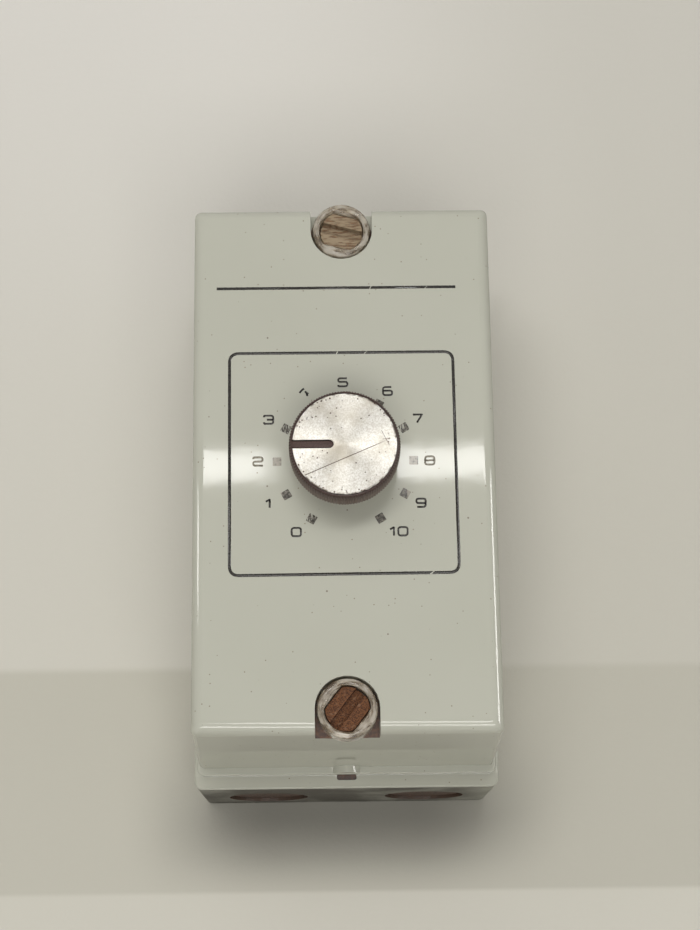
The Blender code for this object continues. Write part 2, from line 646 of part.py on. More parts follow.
# ---------------------------------------------------------------- knob and potentiometer
def ribbed(radius, height):
    """A ring of fine ribs: the points go out and in by turns."""
    points = []
    for step in range(2 * KNOB_RIBS):
        reach = radius - KNOB_RIB_DEPTH * (step % 2)
        angle = math.pi * step / KNOB_RIBS
        points.append((reach * math.cos(angle), reach * math.sin(angle), height))
    return points


def pointer_outline(width, start, reach, steps=8):
    """A bar along -X with a round inner end."""
    half = width / 2
    arc = [(-start - half + half * math.cos(math.pi * (step / steps - 0.5)),
            half * math.sin(math.pi * (step / steps - 0.5))) for step in range(steps + 1)]
    return arc + [(-reach, half), (-reach, -half)]


def shaft_outline(radius, flat, height, steps=24):
    """The shaft's section, with its flat square to Y."""
    return [(x, min(y, flat - SHAFT_DIAMETER / 2), z) for x, y, z in circle(radius, height, steps)]


def make_knob(axis):
    """A ribbed cap on a narrower hub, with an aluminium inlay that the pointer shows through."""
    radius = KNOB_DIAMETER / 2
    recess = KNOB_TOP - DISC_THICKNESS - CLEARANCE
    rim_low = KNOB_TOP - KNOB_RIM_HEIGHT
    mouth = radius - KNOB_RIM_WALL
    count = 2 * KNOB_RIBS
    knob = loft("knob_body", [
        circle(radius - 2 * KNOB_EDGE, rim_low, count),
        ribbed(radius, rim_low + KNOB_EDGE),
        ribbed(radius, KNOB_TOP - KNOB_EDGE / 2),
        circle(radius - KNOB_EDGE, KNOB_TOP, count),
        circle(mouth, KNOB_TOP, count),
        circle(mouth, recess, count),
    ], "brown_phenolic")
    hub = KNOB_HUB_DIAMETER / 2
    middle = (rim_low + recess) / 2
    body = turned("knob_hub", [
        (0.0, KNOB_LIFT), (hub - KNOB_EDGE, KNOB_LIFT), (hub, KNOB_LIFT + KNOB_EDGE),
        (hub + KNOB_EDGE, middle), (0.0, middle),
    ])
    pointer = prism("pointer", pointer_outline(POINTER_WIDTH, POINTER_START, mouth + KNOB_RIM_WALL / 4),
                    middle, KNOB_TOP - POINTER_SINK)
    bore = loft("knob_bore", [
        shaft_outline(SHAFT_DIAMETER / 2 + CLEARANCE, SHAFT_FLAT + CLEARANCE, KNOB_LIFT - OVERCUT),
        shaft_outline(SHAFT_DIAMETER / 2 + CLEARANCE, SHAFT_FLAT + CLEARANCE,
                      KNOB_LIFT + SHAFT_ENTRY + CLEARANCE),
    ])
    join(knob, body, pointer)
    cut(knob, bore)
    inlay = turned("knob_disc", [
        (0.0, recess + CLEARANCE), (DISC_DIAMETER / 2, recess + CLEARANCE),
        (DISC_DIAMETER / 2, KNOB_TOP), (0.0, KNOB_TOP),
    ], "spun_aluminium", steps=64)
    slot = prism("disc_slot", pointer_outline(POINTER_WIDTH + 2 * FINE_CLEARANCE,
                                              POINTER_START - FINE_CLEARANCE, radius),
                 recess - OVERCUT, KNOB_TOP + OVERCUT)
    cut(inlay, slot)
    carry(axis, knob, body, pointer, bore, inlay, slot)


def make_shaft(axis):
    """The potentiometer's shaft, flatted where the knob grips it, and the wiper on its end."""
    low = WIPER_FRONT + CLEARANCE - FACE_Z
    flat_start = -COVER_WALL
    radius = SHAFT_DIAMETER / 2
    round_end = 3 * radius
    shaft = loft("pot_shaft", [
        shaft_outline(radius, round_end, low),
        shaft_outline(radius, round_end, flat_start),
        shaft_outline(radius, SHAFT_FLAT, flat_start),
        shaft_outline(radius, SHAFT_FLAT, KNOB_LIFT + SHAFT_ENTRY),
    ], "brass")
    half = WIPER_WIDTH / 2
    wiper = prism("pot_wiper", notch_outline(half, WIPER_REACH), WIPER_BACK - FACE_Z,
                  WIPER_FRONT - FACE_Z, "brass")
    wiper.rotation_euler.z = math.radians(90)
    carry(axis, shaft, wiper)


def make_potentiometer():
    """The case with its bush, nut and washer, and the track whose tab carries three lugs."""
    radius = POT_DIAMETER / 2
    bore = SHAFT_DIAMETER / 2 + CLEARANCE
    inner = radius - POT_WALL
    case = turned("pot_case", [
        (bore, POT_FRONT), (radius, POT_FRONT), (radius, POT_BACK), (inner, POT_BACK),
        (inner, POT_FRONT - POT_WALL), (bore, POT_FRONT - POT_WALL),
    ], "zinc_steel", steps=28, ring=True)
    tab_half = TRACK_TAB_WIDTH / 2
    cut(case, block("case_notch", (0.0, -tab_half - CLEARANCE, POT_BACK - OVERCUT),
                    (POT_DIAMETER, tab_half + CLEARANCE, TRACK_FRONT + CLEARANCE)))
    track = prism("pot_track", round_outline(inner - CLEARANCE, 28),
                  TRACK_BACK, TRACK_FRONT, "board_laminate")
    join(track, block("track_tab", (0.0, -tab_half, TRACK_BACK),
                      (TRACK_TAB_REACH, tab_half, TRACK_FRONT)))
    bush = BUSH_DIAMETER / 2
    turned("pot_bush", [
        (bore, POT_FRONT + CLEARANCE), (bush, POT_FRONT + CLEARANCE),
        (bush, POT_FRONT + BUSH_LENGTH - FINE_CLEARANCE),
        (bush - FINE_CLEARANCE, POT_FRONT + BUSH_LENGTH), (bore, POT_FRONT + BUSH_LENGTH),
    ], "brass", steps=20, ring=True)
    washer_low = BRACKET_TOP + CLEARANCE
    nut_low = washer_low + WASHER_THICKNESS + CLEARANCE
    turned("pot_washer", [
        (bush + CLEARANCE, washer_low), (WASHER_DIAMETER / 2, washer_low),
        (WASHER_DIAMETER / 2, nut_low - CLEARANCE), (bush + CLEARANCE, nut_low - CLEARANCE),
    ], "zinc_steel", steps=20, ring=True)
    nut = prism("pot_nut", round_outline(NUT_ACROSS / math.sqrt(3), 6),
                nut_low, nut_low + NUT_THICKNESS, "brass")
    drill(nut, "nut_bore", BUSH_DIAMETER + 2 * CLEARANCE, nut_low - OVERCUT,
          nut_low + NUT_THICKNESS + OVERCUT, steps=20)
    lug_high = TRACK_BACK - CLEARANCE
    lug_end = TRACK_TAB_REACH
    for index in (-1, 0, 1):
        lug_y = index * LUG_PITCH
        block(f"pot_lug_{index + 2}",
              (lug_end - LUG_LENGTH, lug_y - LUG_WIDTH / 2, lug_high - LUG_THICKNESS),
              (lug_end, lug_y + LUG_WIDTH / 2, lug_high), "brass")
    make_ribbon(lug_end - LUG_LENGTH / 4, lug_high - LUG_THICKNESS - CLEARANCE)


def make_ribbon(x, top):
    """The flat three-core lead from the lugs straight down to the board."""
    outline = []
    for core in (-1, 0, 1):
        for step in range(4):
            angle = math.pi * (step + 0.5) / 4 - math.pi / 2
            outline.append((WIRE_DIAMETER / 2 * math.cos(angle),
                            core * LUG_PITCH + LUG_PITCH / 2 * math.sin(angle)))
    outline += [(-across, -along) for across, along in outline]
    prism("pot_ribbon", outline, PART_Z, top, "grey_insulation", (x, 0.0, 0.0))


# ---------------------------------------------------------------- heat sink, bracket and screws
def u_outline(half, height, sheet):
    """The section of a channel, open towards +Y."""
    return [(-half, 0.0), (half, 0.0), (half, height), (half - sheet, height), (half - sheet, sheet),
            (-half + sheet, sheet), (-half + sheet, height), (-half, height)]


def screw_mesh(name, reach):
    """A slotted cheese-head screw, its head's underside at the origin and its shank along -Z."""
    head = SMALL_HEAD / 2
    shank = SMALL_SCREW / 2
    template = turned(name + "_template", [
        (0.0, -reach), (shank, -reach), (shank, 0.0), (head, 0.0),
        (head, SMALL_HEAD_HEIGHT), (0.0, SMALL_HEAD_HEIGHT),
    ], "zinc_steel", steps=10)
    slot = block(name + "_slot",
                 (-head - OVERCUT, -SMALL_SLOT_WIDTH / 2, SMALL_HEAD_HEIGHT - SMALL_SLOT_DEPTH),
                 (head + OVERCUT, SMALL_SLOT_WIDTH / 2, SMALL_HEAD_HEIGHT + OVERCUT))
    cut(template, slot)
    mesh = settled_mesh(template)
    for spare in (template, slot):
        bpy.data.objects.remove(spare, do_unlink=True)
    return mesh


def cross_drill(target, name, diameter, x_low, x_high, at):
    """A round hole along X, through a point in Y and Z."""
    bore = prism(name, round_outline(diameter / 2, SMALL_STEPS, 0.5), x_low, x_high, None, (0.0, *at))
    bore.rotation_euler.y = math.radians(90)
    cut(target, bore)


def make_heat_sink():
    """The aluminium channel on the base's bosses, and the steel bridge that holds the dial's works."""
    channel = prism("heat_sink_channel", u_outline(CHANNEL_WIDTH / 2, CHANNEL_HEIGHT, CHANNEL_SHEET),
                    -CHANNEL_LENGTH / 2, CHANNEL_LENGTH / 2, "sheet_aluminium",
                    (0.0, CHANNEL_SHIFT, CHANNEL_Z))
    channel.rotation_euler.x = math.radians(90)
    leg_end = CHANNEL_Z + CHANNEL_HEIGHT - BRACKET_OVERLAP
    half = CHANNEL_WIDTH / 2 + CLEARANCE + BRACKET_SHEET
    bracket = prism("dial_bracket", u_outline(half, BRACKET_TOP - leg_end, BRACKET_SHEET),
                    -BRACKET_WIDTH / 2, BRACKET_WIDTH / 2, "zinc_steel", (0.0, 0.0, BRACKET_TOP))
    bracket.rotation_euler.x = math.radians(-90)
    drill(bracket, "bush_hole", BUSH_DIAMETER + 2 * CLEARANCE, BRACKET_TOP - BRACKET_SHEET - OVERCUT,
          BRACKET_TOP + OVERCUT, steps=20)
    bracket_screw = screw_mesh("bracket_screw",
                               BRACKET_SHEET + CHANNEL_SHEET + 2 * CLEARANCE + SCREW_TAIL)
    screw_z = CHANNEL_Z + CHANNEL_HEIGHT - BRACKET_OVERLAP / 2
    for side, tag in ((-1, "left"), (1, "right")):
        low, high = sorted((side * (CHANNEL_WIDTH / 2 - CHANNEL_SHEET - OVERCUT),
                            side * (half + OVERCUT)))
        cross_drill(channel, "channel_hole_" + tag, SMALL_HOLE, low, high, (0.0, screw_z))
        cross_drill(bracket, "bracket_hole_" + tag, SMALL_HOLE, low, high, (0.0, screw_z))
        screw = add_object("bracket_screw_" + tag, bracket_screw, "zinc_steel",
                           (side * (half + CLEARANCE), 0.0, screw_z))
        screw.rotation_euler.y = math.radians(side * 90)
    channel_screw = screw_mesh("channel_screw", CHANNEL_SHEET + CLEARANCE + SCREW_REACH)
    number = 0
    for side in (1, -1):
        for across in (1, -1):
            number += 1
            at = (across * BOSS_X, boss_y(side))
            drill(channel, f"foot_hole_{number}", SMALL_HOLE, CHANNEL_Z - OVERCUT,
                  CHANNEL_TOP + OVERCUT, at)
            add_object(f"channel_screw_{number}", channel_screw, "zinc_steel",
                       (*at, CHANNEL_TOP + CLEARANCE))
    earth_at = (0.0, boss_y(-1))
    drill(channel, "earth_hole", SMALL_HOLE, CHANNEL_Z - OVERCUT, CHANNEL_TOP + OVERCUT, earth_at)
    earth_screw = screw_mesh("earth_screw", CHANNEL_SHEET + CLEARANCE + SCREW_TAIL)
    add_object("earth_screw", earth_screw, "brass", (*earth_at, CHANNEL_TOP + CLEARANCE))
    return channel


# ---------------------------------------------------------------- board and what is on it
def tube_along(name, points, finish, radii, resolution=1):
    """A closed tube through points, each with its own radius."""
    route = bpy.data.curves.new(name, "CURVE")
    route.dimensions = "3D"
    route.bevel_depth = 1.0
    route.bevel_resolution = resolution
    route.use_fill_caps = True
    spline = route.splines.new("POLY")
    spline.points.add(len(points) - 1)
    for knot, place, radius in zip(spline.points, points, radii):
        knot.co = (*place, 1.0)
        knot.radius = radius
    route.materials.append(look(finish))
    made = bpy.data.objects.new(name, route)
    bpy.context.scene.collection.objects.link(made)
    return made


def leaded_part(name, at, diameter, length, finish):
    """A part along X whose two leads bend down to the board."""
    wire = LEAD_DIAMETER / 2
    body = diameter / 2
    height = LEAD_LIFT + body
    end = length / 2
    foot = end + LEAD_SPAN
    shoulder = body - wire
    half = [(foot, 0.0, wire), (foot, height, wire), (end, height, wire),
            (end - wire, height, body - shoulder / 3), (end - 3 * wire, height, body)]
    stations = [(-x, z, radius) for x, z, radius in half]
    stations += [(x, z, radius) for x, z, radius in reversed(half)]
    points = [(at[0] + x, at[1], PART_Z + z) for x, z, radius in stations]
    tube_along(name, points, finish, [radius for x, z, radius in stations], 2)


def make_board(channel):
    """The printed board on four spacers, each with a screw down into the channel."""
    low_y, high_y = BOARD_ENDS
    board = block("circuit_board", (-BOARD_HALF, low_y, BOARD_Z), (BOARD_HALF, high_y, BOARD_TOP),
                  "board_laminate")
    spacer_low = CHANNEL_TOP + CLEARANCE
    spacer_high = spacer_low + SPACER_HEIGHT
    reach = BOARD_TOP - CHANNEL_Z + CLEARANCE + SCREW_TAIL
    board_screw = screw_mesh("board_screw", reach)
    number = 0
    for y in (high_y - SPACER_INSET, low_y + SPACER_INSET):
        for side in (1, -1):
            number += 1
            at = (side * (BOARD_HALF - SPACER_INSET), y)
            drill(board, f"board_hole_{number}", SMALL_HOLE, BOARD_Z - OVERCUT, BOARD_TOP + OVERCUT, at)
            drill(channel, f"spacer_hole_{number}", SMALL_HOLE, CHANNEL_Z - OVERCUT,
                  CHANNEL_TOP + OVERCUT, at)
            turned(f"board_spacer_{number}", [
                (SMALL_HOLE / 2, spacer_low), (SPACER_DIAMETER / 2, spacer_low),
                (SPACER_DIAMETER / 2, spacer_high), (SMALL_HOLE / 2, spacer_high),
            ], "white_plastic", (*at, 0.0), 12, ring=True)
            add_object(f"board_screw_{number}", board_screw, "zinc_steel", (*at, PART_Z))


def make_choke():
    """A ferrite ring with its winding, lying on the board."""
    lift = CHOKE_SECTION + CLEARANCE + CHOKE_WIRE
    middle = (CHOKE_X, CHOKE_Y, PART_Z + lift)
    section = [(CHOKE_RADIUS + CHOKE_SECTION * math.cos(math.tau * step / CHOKE_SIDES),
                CHOKE_SECTION * math.sin(math.tau * step / CHOKE_SIDES)) for step in range(CHOKE_SIDES)]
    turned("choke_core", section, "ferrite", middle, 24, ring=True)
    reach = CHOKE_SECTION + CLEARANCE + CHOKE_WIRE / 2
    spread = math.tau * (1 - 1 / CHOKE_TURNS)
    per_turn = 8
    points = []
    for step in range(CHOKE_TURNS * per_turn + 1):
        share = step / (CHOKE_TURNS * per_turn)
        turn = math.tau * CHOKE_TURNS * share
        radius = CHOKE_RADIUS + reach / math.cos(math.pi / CHOKE_SIDES) * math.cos(turn)
        points.append((middle[0] + radius * math.cos(spread * share),
                       middle[1] + radius * math.sin(spread * share),
                       middle[2] + reach * math.sin(turn)))
    tube_along("choke_winding", points, "copper", [CHOKE_WIRE / 2] * len(points))


def capacitor(name, at, size, finish):
    """A boxed capacitor with rounded upright edges, standing on the board."""
    outline = [point[:2] for point in rectangle(size[0] / 2, size[1] / 2, CAPACITOR_CORNER, 0.0, 2)]
    prism(name, outline, PART_Z, PART_Z + size[2], finish, (*at, 0.0))


def make_triac(channel):
    """The power switch, its tab screwed to the channel's wall and its legs down to the board."""
    wall = -CHANNEL_WIDTH / 2 + CHANNEL_SHEET
    back = wall + CLEARANCE
    low = PART_Z + TRIAC_LEG_LENGTH
    outline = [(0.0, 0.0), (TRIAC_DEPTH, 0.0), (TRIAC_DEPTH, TRIAC_HEIGHT), (TRIAC_TAB, TRIAC_HEIGHT),
               (TRIAC_TAB, TRIAC_HEIGHT + TRIAC_TAB_HEIGHT), (0.0, TRIAC_HEIGHT + TRIAC_TAB_HEIGHT)]
    triac = prism("triac", outline, -TRIAC_WIDTH / 2, TRIAC_WIDTH / 2, "black_phenolic",
                  (back, TRIAC_Y, low))
    triac.rotation_euler.x = math.radians(90)
    leg_x = back + TRIAC_DEPTH / 2
    for index in (-1, 0, 1):
        leg_y = TRIAC_Y + index * TRIAC_LEG_PITCH
        join(triac, block(f"triac_leg_{index + 2}",
                          (leg_x - TRIAC_LEG / 2, leg_y - TRIAC_LEG / 2, PART_Z),
                          (leg_x + TRIAC_LEG / 2, leg_y + TRIAC_LEG / 2, low + TRIAC_LEG)))
    screw_z = low + TRIAC_HEIGHT + TRIAC_TAB_HEIGHT / 2
    cross_drill(triac, "triac_tab_hole", SMALL_HOLE, back - OVERCUT, back + TRIAC_TAB + OVERCUT,
                (TRIAC_Y, screw_z))
    cross_drill(channel, "triac_wall_hole", SMALL_HOLE, wall - CHANNEL_SHEET - OVERCUT, wall + OVERCUT,
                (TRIAC_Y, screw_z))
    reach = TRIAC_TAB + CHANNEL_SHEET + 2 * CLEARANCE + SCREW_TAIL
    screw = add_object("triac_screw", screw_mesh("triac_screw", reach), "zinc_steel",
                       (back + TRIAC_TAB + CLEARANCE, TRIAC_Y, screw_z))
    screw.rotation_euler.y = math.radians(90)


def make_fuse():
    """A glass fuse with metal ends, held in two spring clips."""
    radius = FUSE_DIAMETER / 2
    glass = radius - FINE_CLEARANCE
    half = FUSE_LENGTH / 2
    shoulder = half - FUSE_CAP_LENGTH
    fuse = turned("fuse", [
        (0.0, -half), (radius, -half), (radius, -shoulder), (glass, -shoulder),
        (glass, shoulder), (radius, shoulder), (radius, half), (0.0, half),
    ], "glass", (FUSE_X, FUSE_Y, PART_Z + CLIP_SHEET + CLEARANCE + radius), 12)
    fuse.rotation_euler.x = math.radians(90)
    for number, side in enumerate((-1, 1), 1):
        clip_y = FUSE_Y + side * (half - FUSE_CAP_LENGTH / 2)
        clip = prism(f"fuse_clip_{number}",
                     u_outline(radius + CLEARANCE + CLIP_SHEET, FUSE_DIAMETER, CLIP_SHEET),
                     -CLIP_WIDTH / 2, CLIP_WIDTH / 2, "brass", (FUSE_X, clip_y, PART_Z))
        clip.rotation_euler.x = math.radians(90)


def make_terminals():
    """A moulded block with a screw well and a wire funnel for each pole."""
    low_y = BOARD_ENDS[0] + TERMINAL_INSET
    middle_y = low_y + TERMINAL_DEPTH / 2
    top = PART_Z + TERMINAL_HEIGHT
    half = TERMINAL_POLES * TERMINAL_PITCH / 2
    body = block("terminal_block", (-half, low_y, PART_Z), (half, low_y + TERMINAL_DEPTH, top),
                 "white_plastic")
    well_floor = top - TERMINAL_WELL_DEPTH
    screw_low = well_floor + CLEARANCE
    screw_high = screw_low + TERMINAL_SCREW_HEIGHT
    template = turned("terminal_screw_template", [
        (0.0, 0.0), (TERMINAL_SCREW / 2, 0.0), (TERMINAL_SCREW / 2, TERMINAL_SCREW_HEIGHT),
        (0.0, TERMINAL_SCREW_HEIGHT),
    ], "zinc_steel", steps=10)
    slot = block("terminal_screw_slot",
                 (-TERMINAL_SCREW, -SMALL_SLOT_WIDTH / 2, TERMINAL_SCREW_HEIGHT - SMALL_SLOT_DEPTH),
                 (TERMINAL_SCREW, SMALL_SLOT_WIDTH / 2, TERMINAL_SCREW_HEIGHT + OVERCUT))
    cut(template, slot)
    screw = settled_mesh(template)
    for spare in (template, slot):
        bpy.data.objects.remove(spare, do_unlink=True)
    for pole in range(TERMINAL_POLES):
        x = (pole + 0.5) * TERMINAL_PITCH - half
        drill(body, f"well_{pole + 1}", TERMINAL_WELL, well_floor, top + OVERCUT, (x, middle_y), 12)
        funnel = prism(f"funnel_{pole + 1}", round_outline(TERMINAL_WIRE_HOLE / 2, SMALL_STEPS),
                       -TERMINAL_DEPTH / 2, OVERCUT, None, (x, low_y, well_floor))
        funnel.rotation_euler.x = math.radians(90)
        cut(body, funnel)
        add_object(f"terminal_screw_{pole + 1}", screw, "zinc_steel", (x, middle_y, screw_low))


def build():
    clear_scene()
    make_base()
    make_cover()
    make_gasket()
    for tag, side, slot_angle in (("top", 1, TOP_SLOT_ANGLE), ("bottom", -1, BOTTOM_SLOT_ANGLE)):
        make_cover_screw(tag, side, slot_angle)
        make_thread_insert(tag, side)
    for tag, side in (("left", -1), ("right", 1)):
        make_entry_plug(tag, side)
    knob_axis = axis_empty("knob_axis", (0.0, 0.0, FACE_Z))
    make_knob(knob_axis)
    make_shaft(knob_axis)
    make_potentiometer()
    channel = make_heat_sink()
    make_board(channel)
    make_choke()
    capacitor("filter_capacitor", (FILTER_CAP_X, FILTER_CAP_Y), FILTER_CAP_SIZE, "yellow_film")
    capacitor("timing_capacitor", (CHOKE_X, TIMING_CAP_Y), TIMING_CAP_SIZE, "yellow_film")
    for number, y in enumerate(RESISTOR_Y, 1):
        leaded_part(f"resistor_{number}", (SMALL_PARTS_X, y), RESISTOR_DIAMETER, RESISTOR_LENGTH,
                    "white_plastic")
    leaded_part("trigger_diode", (SMALL_PARTS_X, DIODE_Y), DIODE_DIAMETER, DIODE_LENGTH, "black_phenolic")
    make_triac(channel)
    make_fuse()
    make_terminals()


build()
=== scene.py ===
"""Looks of the wall-mounted dial regulator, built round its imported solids."""
import math

import bmesh
import bpy
from mathutils import Matrix, Vector


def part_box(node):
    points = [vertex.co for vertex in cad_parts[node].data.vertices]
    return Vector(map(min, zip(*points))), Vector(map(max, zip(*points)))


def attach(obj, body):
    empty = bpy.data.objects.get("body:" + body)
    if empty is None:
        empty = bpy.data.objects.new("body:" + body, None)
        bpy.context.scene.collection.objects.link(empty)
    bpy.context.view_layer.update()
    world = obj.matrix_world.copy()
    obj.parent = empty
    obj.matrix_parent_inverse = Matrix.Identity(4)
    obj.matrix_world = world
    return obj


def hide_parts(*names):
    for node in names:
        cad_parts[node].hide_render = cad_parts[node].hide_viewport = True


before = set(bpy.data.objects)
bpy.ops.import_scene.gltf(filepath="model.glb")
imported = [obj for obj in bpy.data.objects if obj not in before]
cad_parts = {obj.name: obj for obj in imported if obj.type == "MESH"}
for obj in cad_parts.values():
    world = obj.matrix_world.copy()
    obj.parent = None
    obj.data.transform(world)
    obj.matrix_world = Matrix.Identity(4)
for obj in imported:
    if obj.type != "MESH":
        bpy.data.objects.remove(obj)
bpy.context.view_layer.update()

# ---------------------------------------------------------------- camera
# A phone held half a metre in front of the dial and a little below it, so that it looks up the
# front at fifteen degrees and also sees the lower wall.
camera = bpy.data.objects.new("viewpoint", bpy.data.cameras.new("viewpoint"))
camera.data.lens = 74.942
camera.data.sensor_width = 36.0
camera.location = (-0.00492, -0.13731, 0.58517)
camera.rotation_euler = (math.radians(15.327), math.radians(-0.530), math.radians(-0.771))
bpy.context.scene.collection.objects.link(camera)
bpy.context.scene.camera = camera

# ---------------------------------------------------------------- light
# A pale room, seen brighter than it lights, with lamps overhead and on the camera's side and a
# weak window. The other lamps are there for their mirror images in the gloss: strips across the
# dial's height, a window down the right edge, a small one on the left and two bars at the foot.
studio = bpy.context.scene.world or bpy.data.worlds.new("studio")
bpy.context.scene.world = studio
studio.use_nodes = True
room = studio.node_tree.nodes["Background"]
room.inputs["Color"].default_value = (1.0, 0.99, 0.97, 1.0)
ray = studio.node_tree.nodes.new("ShaderNodeLightPath")
room_strength, seen_strength = 0.32, 0.36
strength = room_strength
for seen in ("Is Camera Ray", "Is Glossy Ray", "Is Transmission Ray"):
    brighter = studio.node_tree.nodes.new("ShaderNodeMath")
    brighter.operation = "MULTIPLY_ADD"
    brighter.inputs[1].default_value = seen_strength
    studio.node_tree.links.new(ray.outputs[seen], brighter.inputs[0])
    if seen == "Is Camera Ray":
        brighter.inputs[2].default_value = strength
    else:
        studio.node_tree.links.new(strength, brighter.inputs[2])
    strength = brighter.outputs[0]
studio.node_tree.links.new(strength, room.inputs["Strength"])
bpy.context.scene.view_settings.view_transform = "Standard"
dial_middle = Vector((0.0, 0.0, 0.05))


def lamp(name, place, size, radiance, mirrored, lights):
    """A rectangular lamp aimed at the dial; gloss can mirror it, and it can light surfaces."""
    data = bpy.data.lights.new(name, "AREA")
    data.shape = "RECTANGLE"
    data.size, data.size_y = size
    data.energy = math.pi * size[0] * size[1] * radiance
    data.color = (1.0, 0.99, 0.965)
    made = bpy.data.objects.new(name, data)
    made.location = place
    made.rotation_euler = (dial_middle - Vector(place)).to_track_quat("-Z", "Y").to_euler()
    made.visible_glossy = mirrored
    made.visible_diffuse = lights
    bpy.context.scene.collection.objects.link(made)
    return made


lamp("ceiling", (-0.14, 0.34, 1.60), (1.0, 0.30), 8.6, mirrored=False, lights=True)
lamp("window", (-0.45, 1.00, 1.45), (1.1, 0.8), 0.9, mirrored=False, lights=True)
lamp("fill", (0.06, -0.80, 1.40), (0.9, 0.6), 5.3, mirrored=False, lights=True)
strip_y, strip_z, strip_width = 0.411, 1.588, 0.033
for name, middle, length, radiance in (
        ("strip_left", -0.232, 0.32, 12.0),
        ("strip_left_end", -0.064, 0.016, 5.0),
        ("strip_right", 0.228, 0.32, 12.0)):
    strip = lamp(name, (middle, strip_y, strip_z), (length, strip_width), radiance,
                 mirrored=True, lights=True)
    strip.rotation_euler = Vector((0.0, -strip_y, -strip_z)).to_track_quat("-Z", "Y").to_euler()
lamp("gleam_right", (1.40, 0.09, 0.86), (0.64, 0.40), 11.0, mirrored=True, lights=False)
lamp("gleam_left", (-1.34, 0.33, 0.96), (0.12, 0.40), 10.0, mirrored=True, lights=False)
lamp("gleam_front", (0.0, -0.20, 1.68), (0.60, 0.30), 6.5, mirrored=True, lights=False)
lamp("gleam_low", (0.0, -0.95, 1.37), (0.80, 0.30), 7.0, mirrored=True, lights=False)

# ---------------------------------------------------------------- finishes
# Every surface gets its colour, gloss and grain from nodes on its own coordinates. A finish is
# one material; a level is a number or colour that varies over it.


class Level:
    """What a node gives out. Python's operators on it add Math nodes."""

    def __init__(self, finish, socket):
        self.finish = finish
        self.socket = socket

    def maths(self, operation, *values):
        settings = {"operation": operation}
        return self.finish.add("ShaderNodeMath", settings, dict(enumerate(values)))

    def __add__(self, other):
        return self.maths("ADD", self, other)

    def __sub__(self, other):
        return self.maths("SUBTRACT", self, other)

    def __rsub__(self, other):
        return self.maths("SUBTRACT", other, self)

    def __mul__(self, other):
        return self.maths("MULTIPLY", self, other)

    def __gt__(self, other):
        return self.maths("GREATER_THAN", self, other)

    def __lt__(self, other):
        return self.maths("LESS_THAN", self, other)

    def __abs__(self):
        return self.maths("ABSOLUTE", self)

    __radd__ = __add__

    def rise(self, low, high):
        """Zero below low and one above high, with a smooth change between them."""
        settings = {"interpolation_type": "SMOOTHSTEP"}
        inputs = {"Value": self, "From Min": low, "From Max": high}
        return self.finish.add("ShaderNodeMapRange", settings, inputs)


class Finish:
    """One material: the nodes that are added to it, and its Principled shader."""

    def __init__(self, name):
        self.material = bpy.data.materials.new(name)
        self.material.use_nodes = True
        self.tree = self.material.node_tree
        self.shader = self.tree.nodes["Principled BSDF"]
        self.place = self.add("ShaderNodeTexCoord", output="Object")

    def add(self, kind, settings=None, inputs=None, output=0):
        """A node of that type: its settings first, then the values or links of its sockets."""
        node = self.tree.nodes.new(kind)
        for key, value in (settings or {}).items():
            setattr(node, key, value)
        for key, value in (inputs or {}).items():
            self.feed(node.inputs[key], value)
        return Level(self, node.outputs[output])

    def feed(self, socket, value):
        if isinstance(value, Level):
            self.tree.links.new(value.socket, socket)
        else:
            socket.default_value = value

    def axes(self, vector=None):
        """X, Y and Z of a vector, or of the place on the object."""
        split = self.tree.nodes.new("ShaderNodeSeparateXYZ")
        self.feed(split.inputs[0], vector or self.place)
        return [Level(self, socket) for socket in split.outputs]

    def length(self, across, up):
        """How long a flat vector is."""
        flat = self.add("ShaderNodeCombineXYZ", None, {0: across, 1: up})
        return self.add("ShaderNodeVectorMath", {"operation": "LENGTH"}, {0: flat}, "Value")

    def stretched(self, scale, turn=0.0):
        """The place on the object, turned about Z and stretched."""
        inputs = {"Vector": self.place, "Rotation": (0.0, 0.0, turn), "Scale": scale}
        return self.add("ShaderNodeMapping", {"vector_type": "POINT"}, inputs)

    def noise(self, scale, detail=2.0, vector=None):
        return self.add("ShaderNodeTexNoise", None,
                        {"Vector": vector or self.place, "Scale": scale, "Detail": detail})

    def cells(self, scale, size, share):
        """Round specks: of one cell in share, the part within size of its middle."""
        inputs = {"Vector": self.place, "Scale": scale}
        reach = self.add("ShaderNodeTexVoronoi", None, inputs)
        lot = self.axes(self.add("ShaderNodeTexVoronoi", None, inputs, "Color"))[0]
        return (1.0 - reach.rise(0.6 * size, size)) * (lot < share)

    def blend(self, share, first, second):
        """From the first colour to the second by a share."""
        share_in, first_in, second_in, colour_out = 0, 6, 7, 2
        inputs = {share_in: share, first_in: first, second_in: second}
        return self.add("ShaderNodeMix", {"data_type": "RGBA"}, inputs, colour_out)

    def bump(self, height, depth):
        """The shader's normal, raised by a height, of which one is so many metres."""
        self.set(Normal=self.add("ShaderNodeBump", None, {
            "Strength": 1.0, "Distance": depth, "Height": height}))

    def set(self, **sockets):
        for key, value in sockets.items():
            self.feed(self.shader.inputs[key.replace("_", " ")], value)


def paint(red, green, blue):
    """A colour from its 0 to 255 values on a screen."""
    parts = [part / 255 for part in (red, green, blue)]
    linear = [part / 12.92 if part <= 0.04045 else ((part + 0.055) / 1.055) ** 2.4
              for part in parts]
    return (*linear, 1.0)


def dress(finish, *names):
    """Give CAD nodes a finish."""
    for name in names:
        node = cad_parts[name]
        for held in node.material_slots:
            held.material = finish.material


def made_of(name, shape, finish):
    """A new object with a shape's mesh, all in one finish."""
    mesh = bpy.data.meshes.new(name)
    shape.to_mesh(mesh)
    shape.free()
    mesh.materials.append(finish.material)
    piece = bpy.data.objects.new(name, mesh)
    bpy.context.scene.collection.objects.link(piece)
    return piece


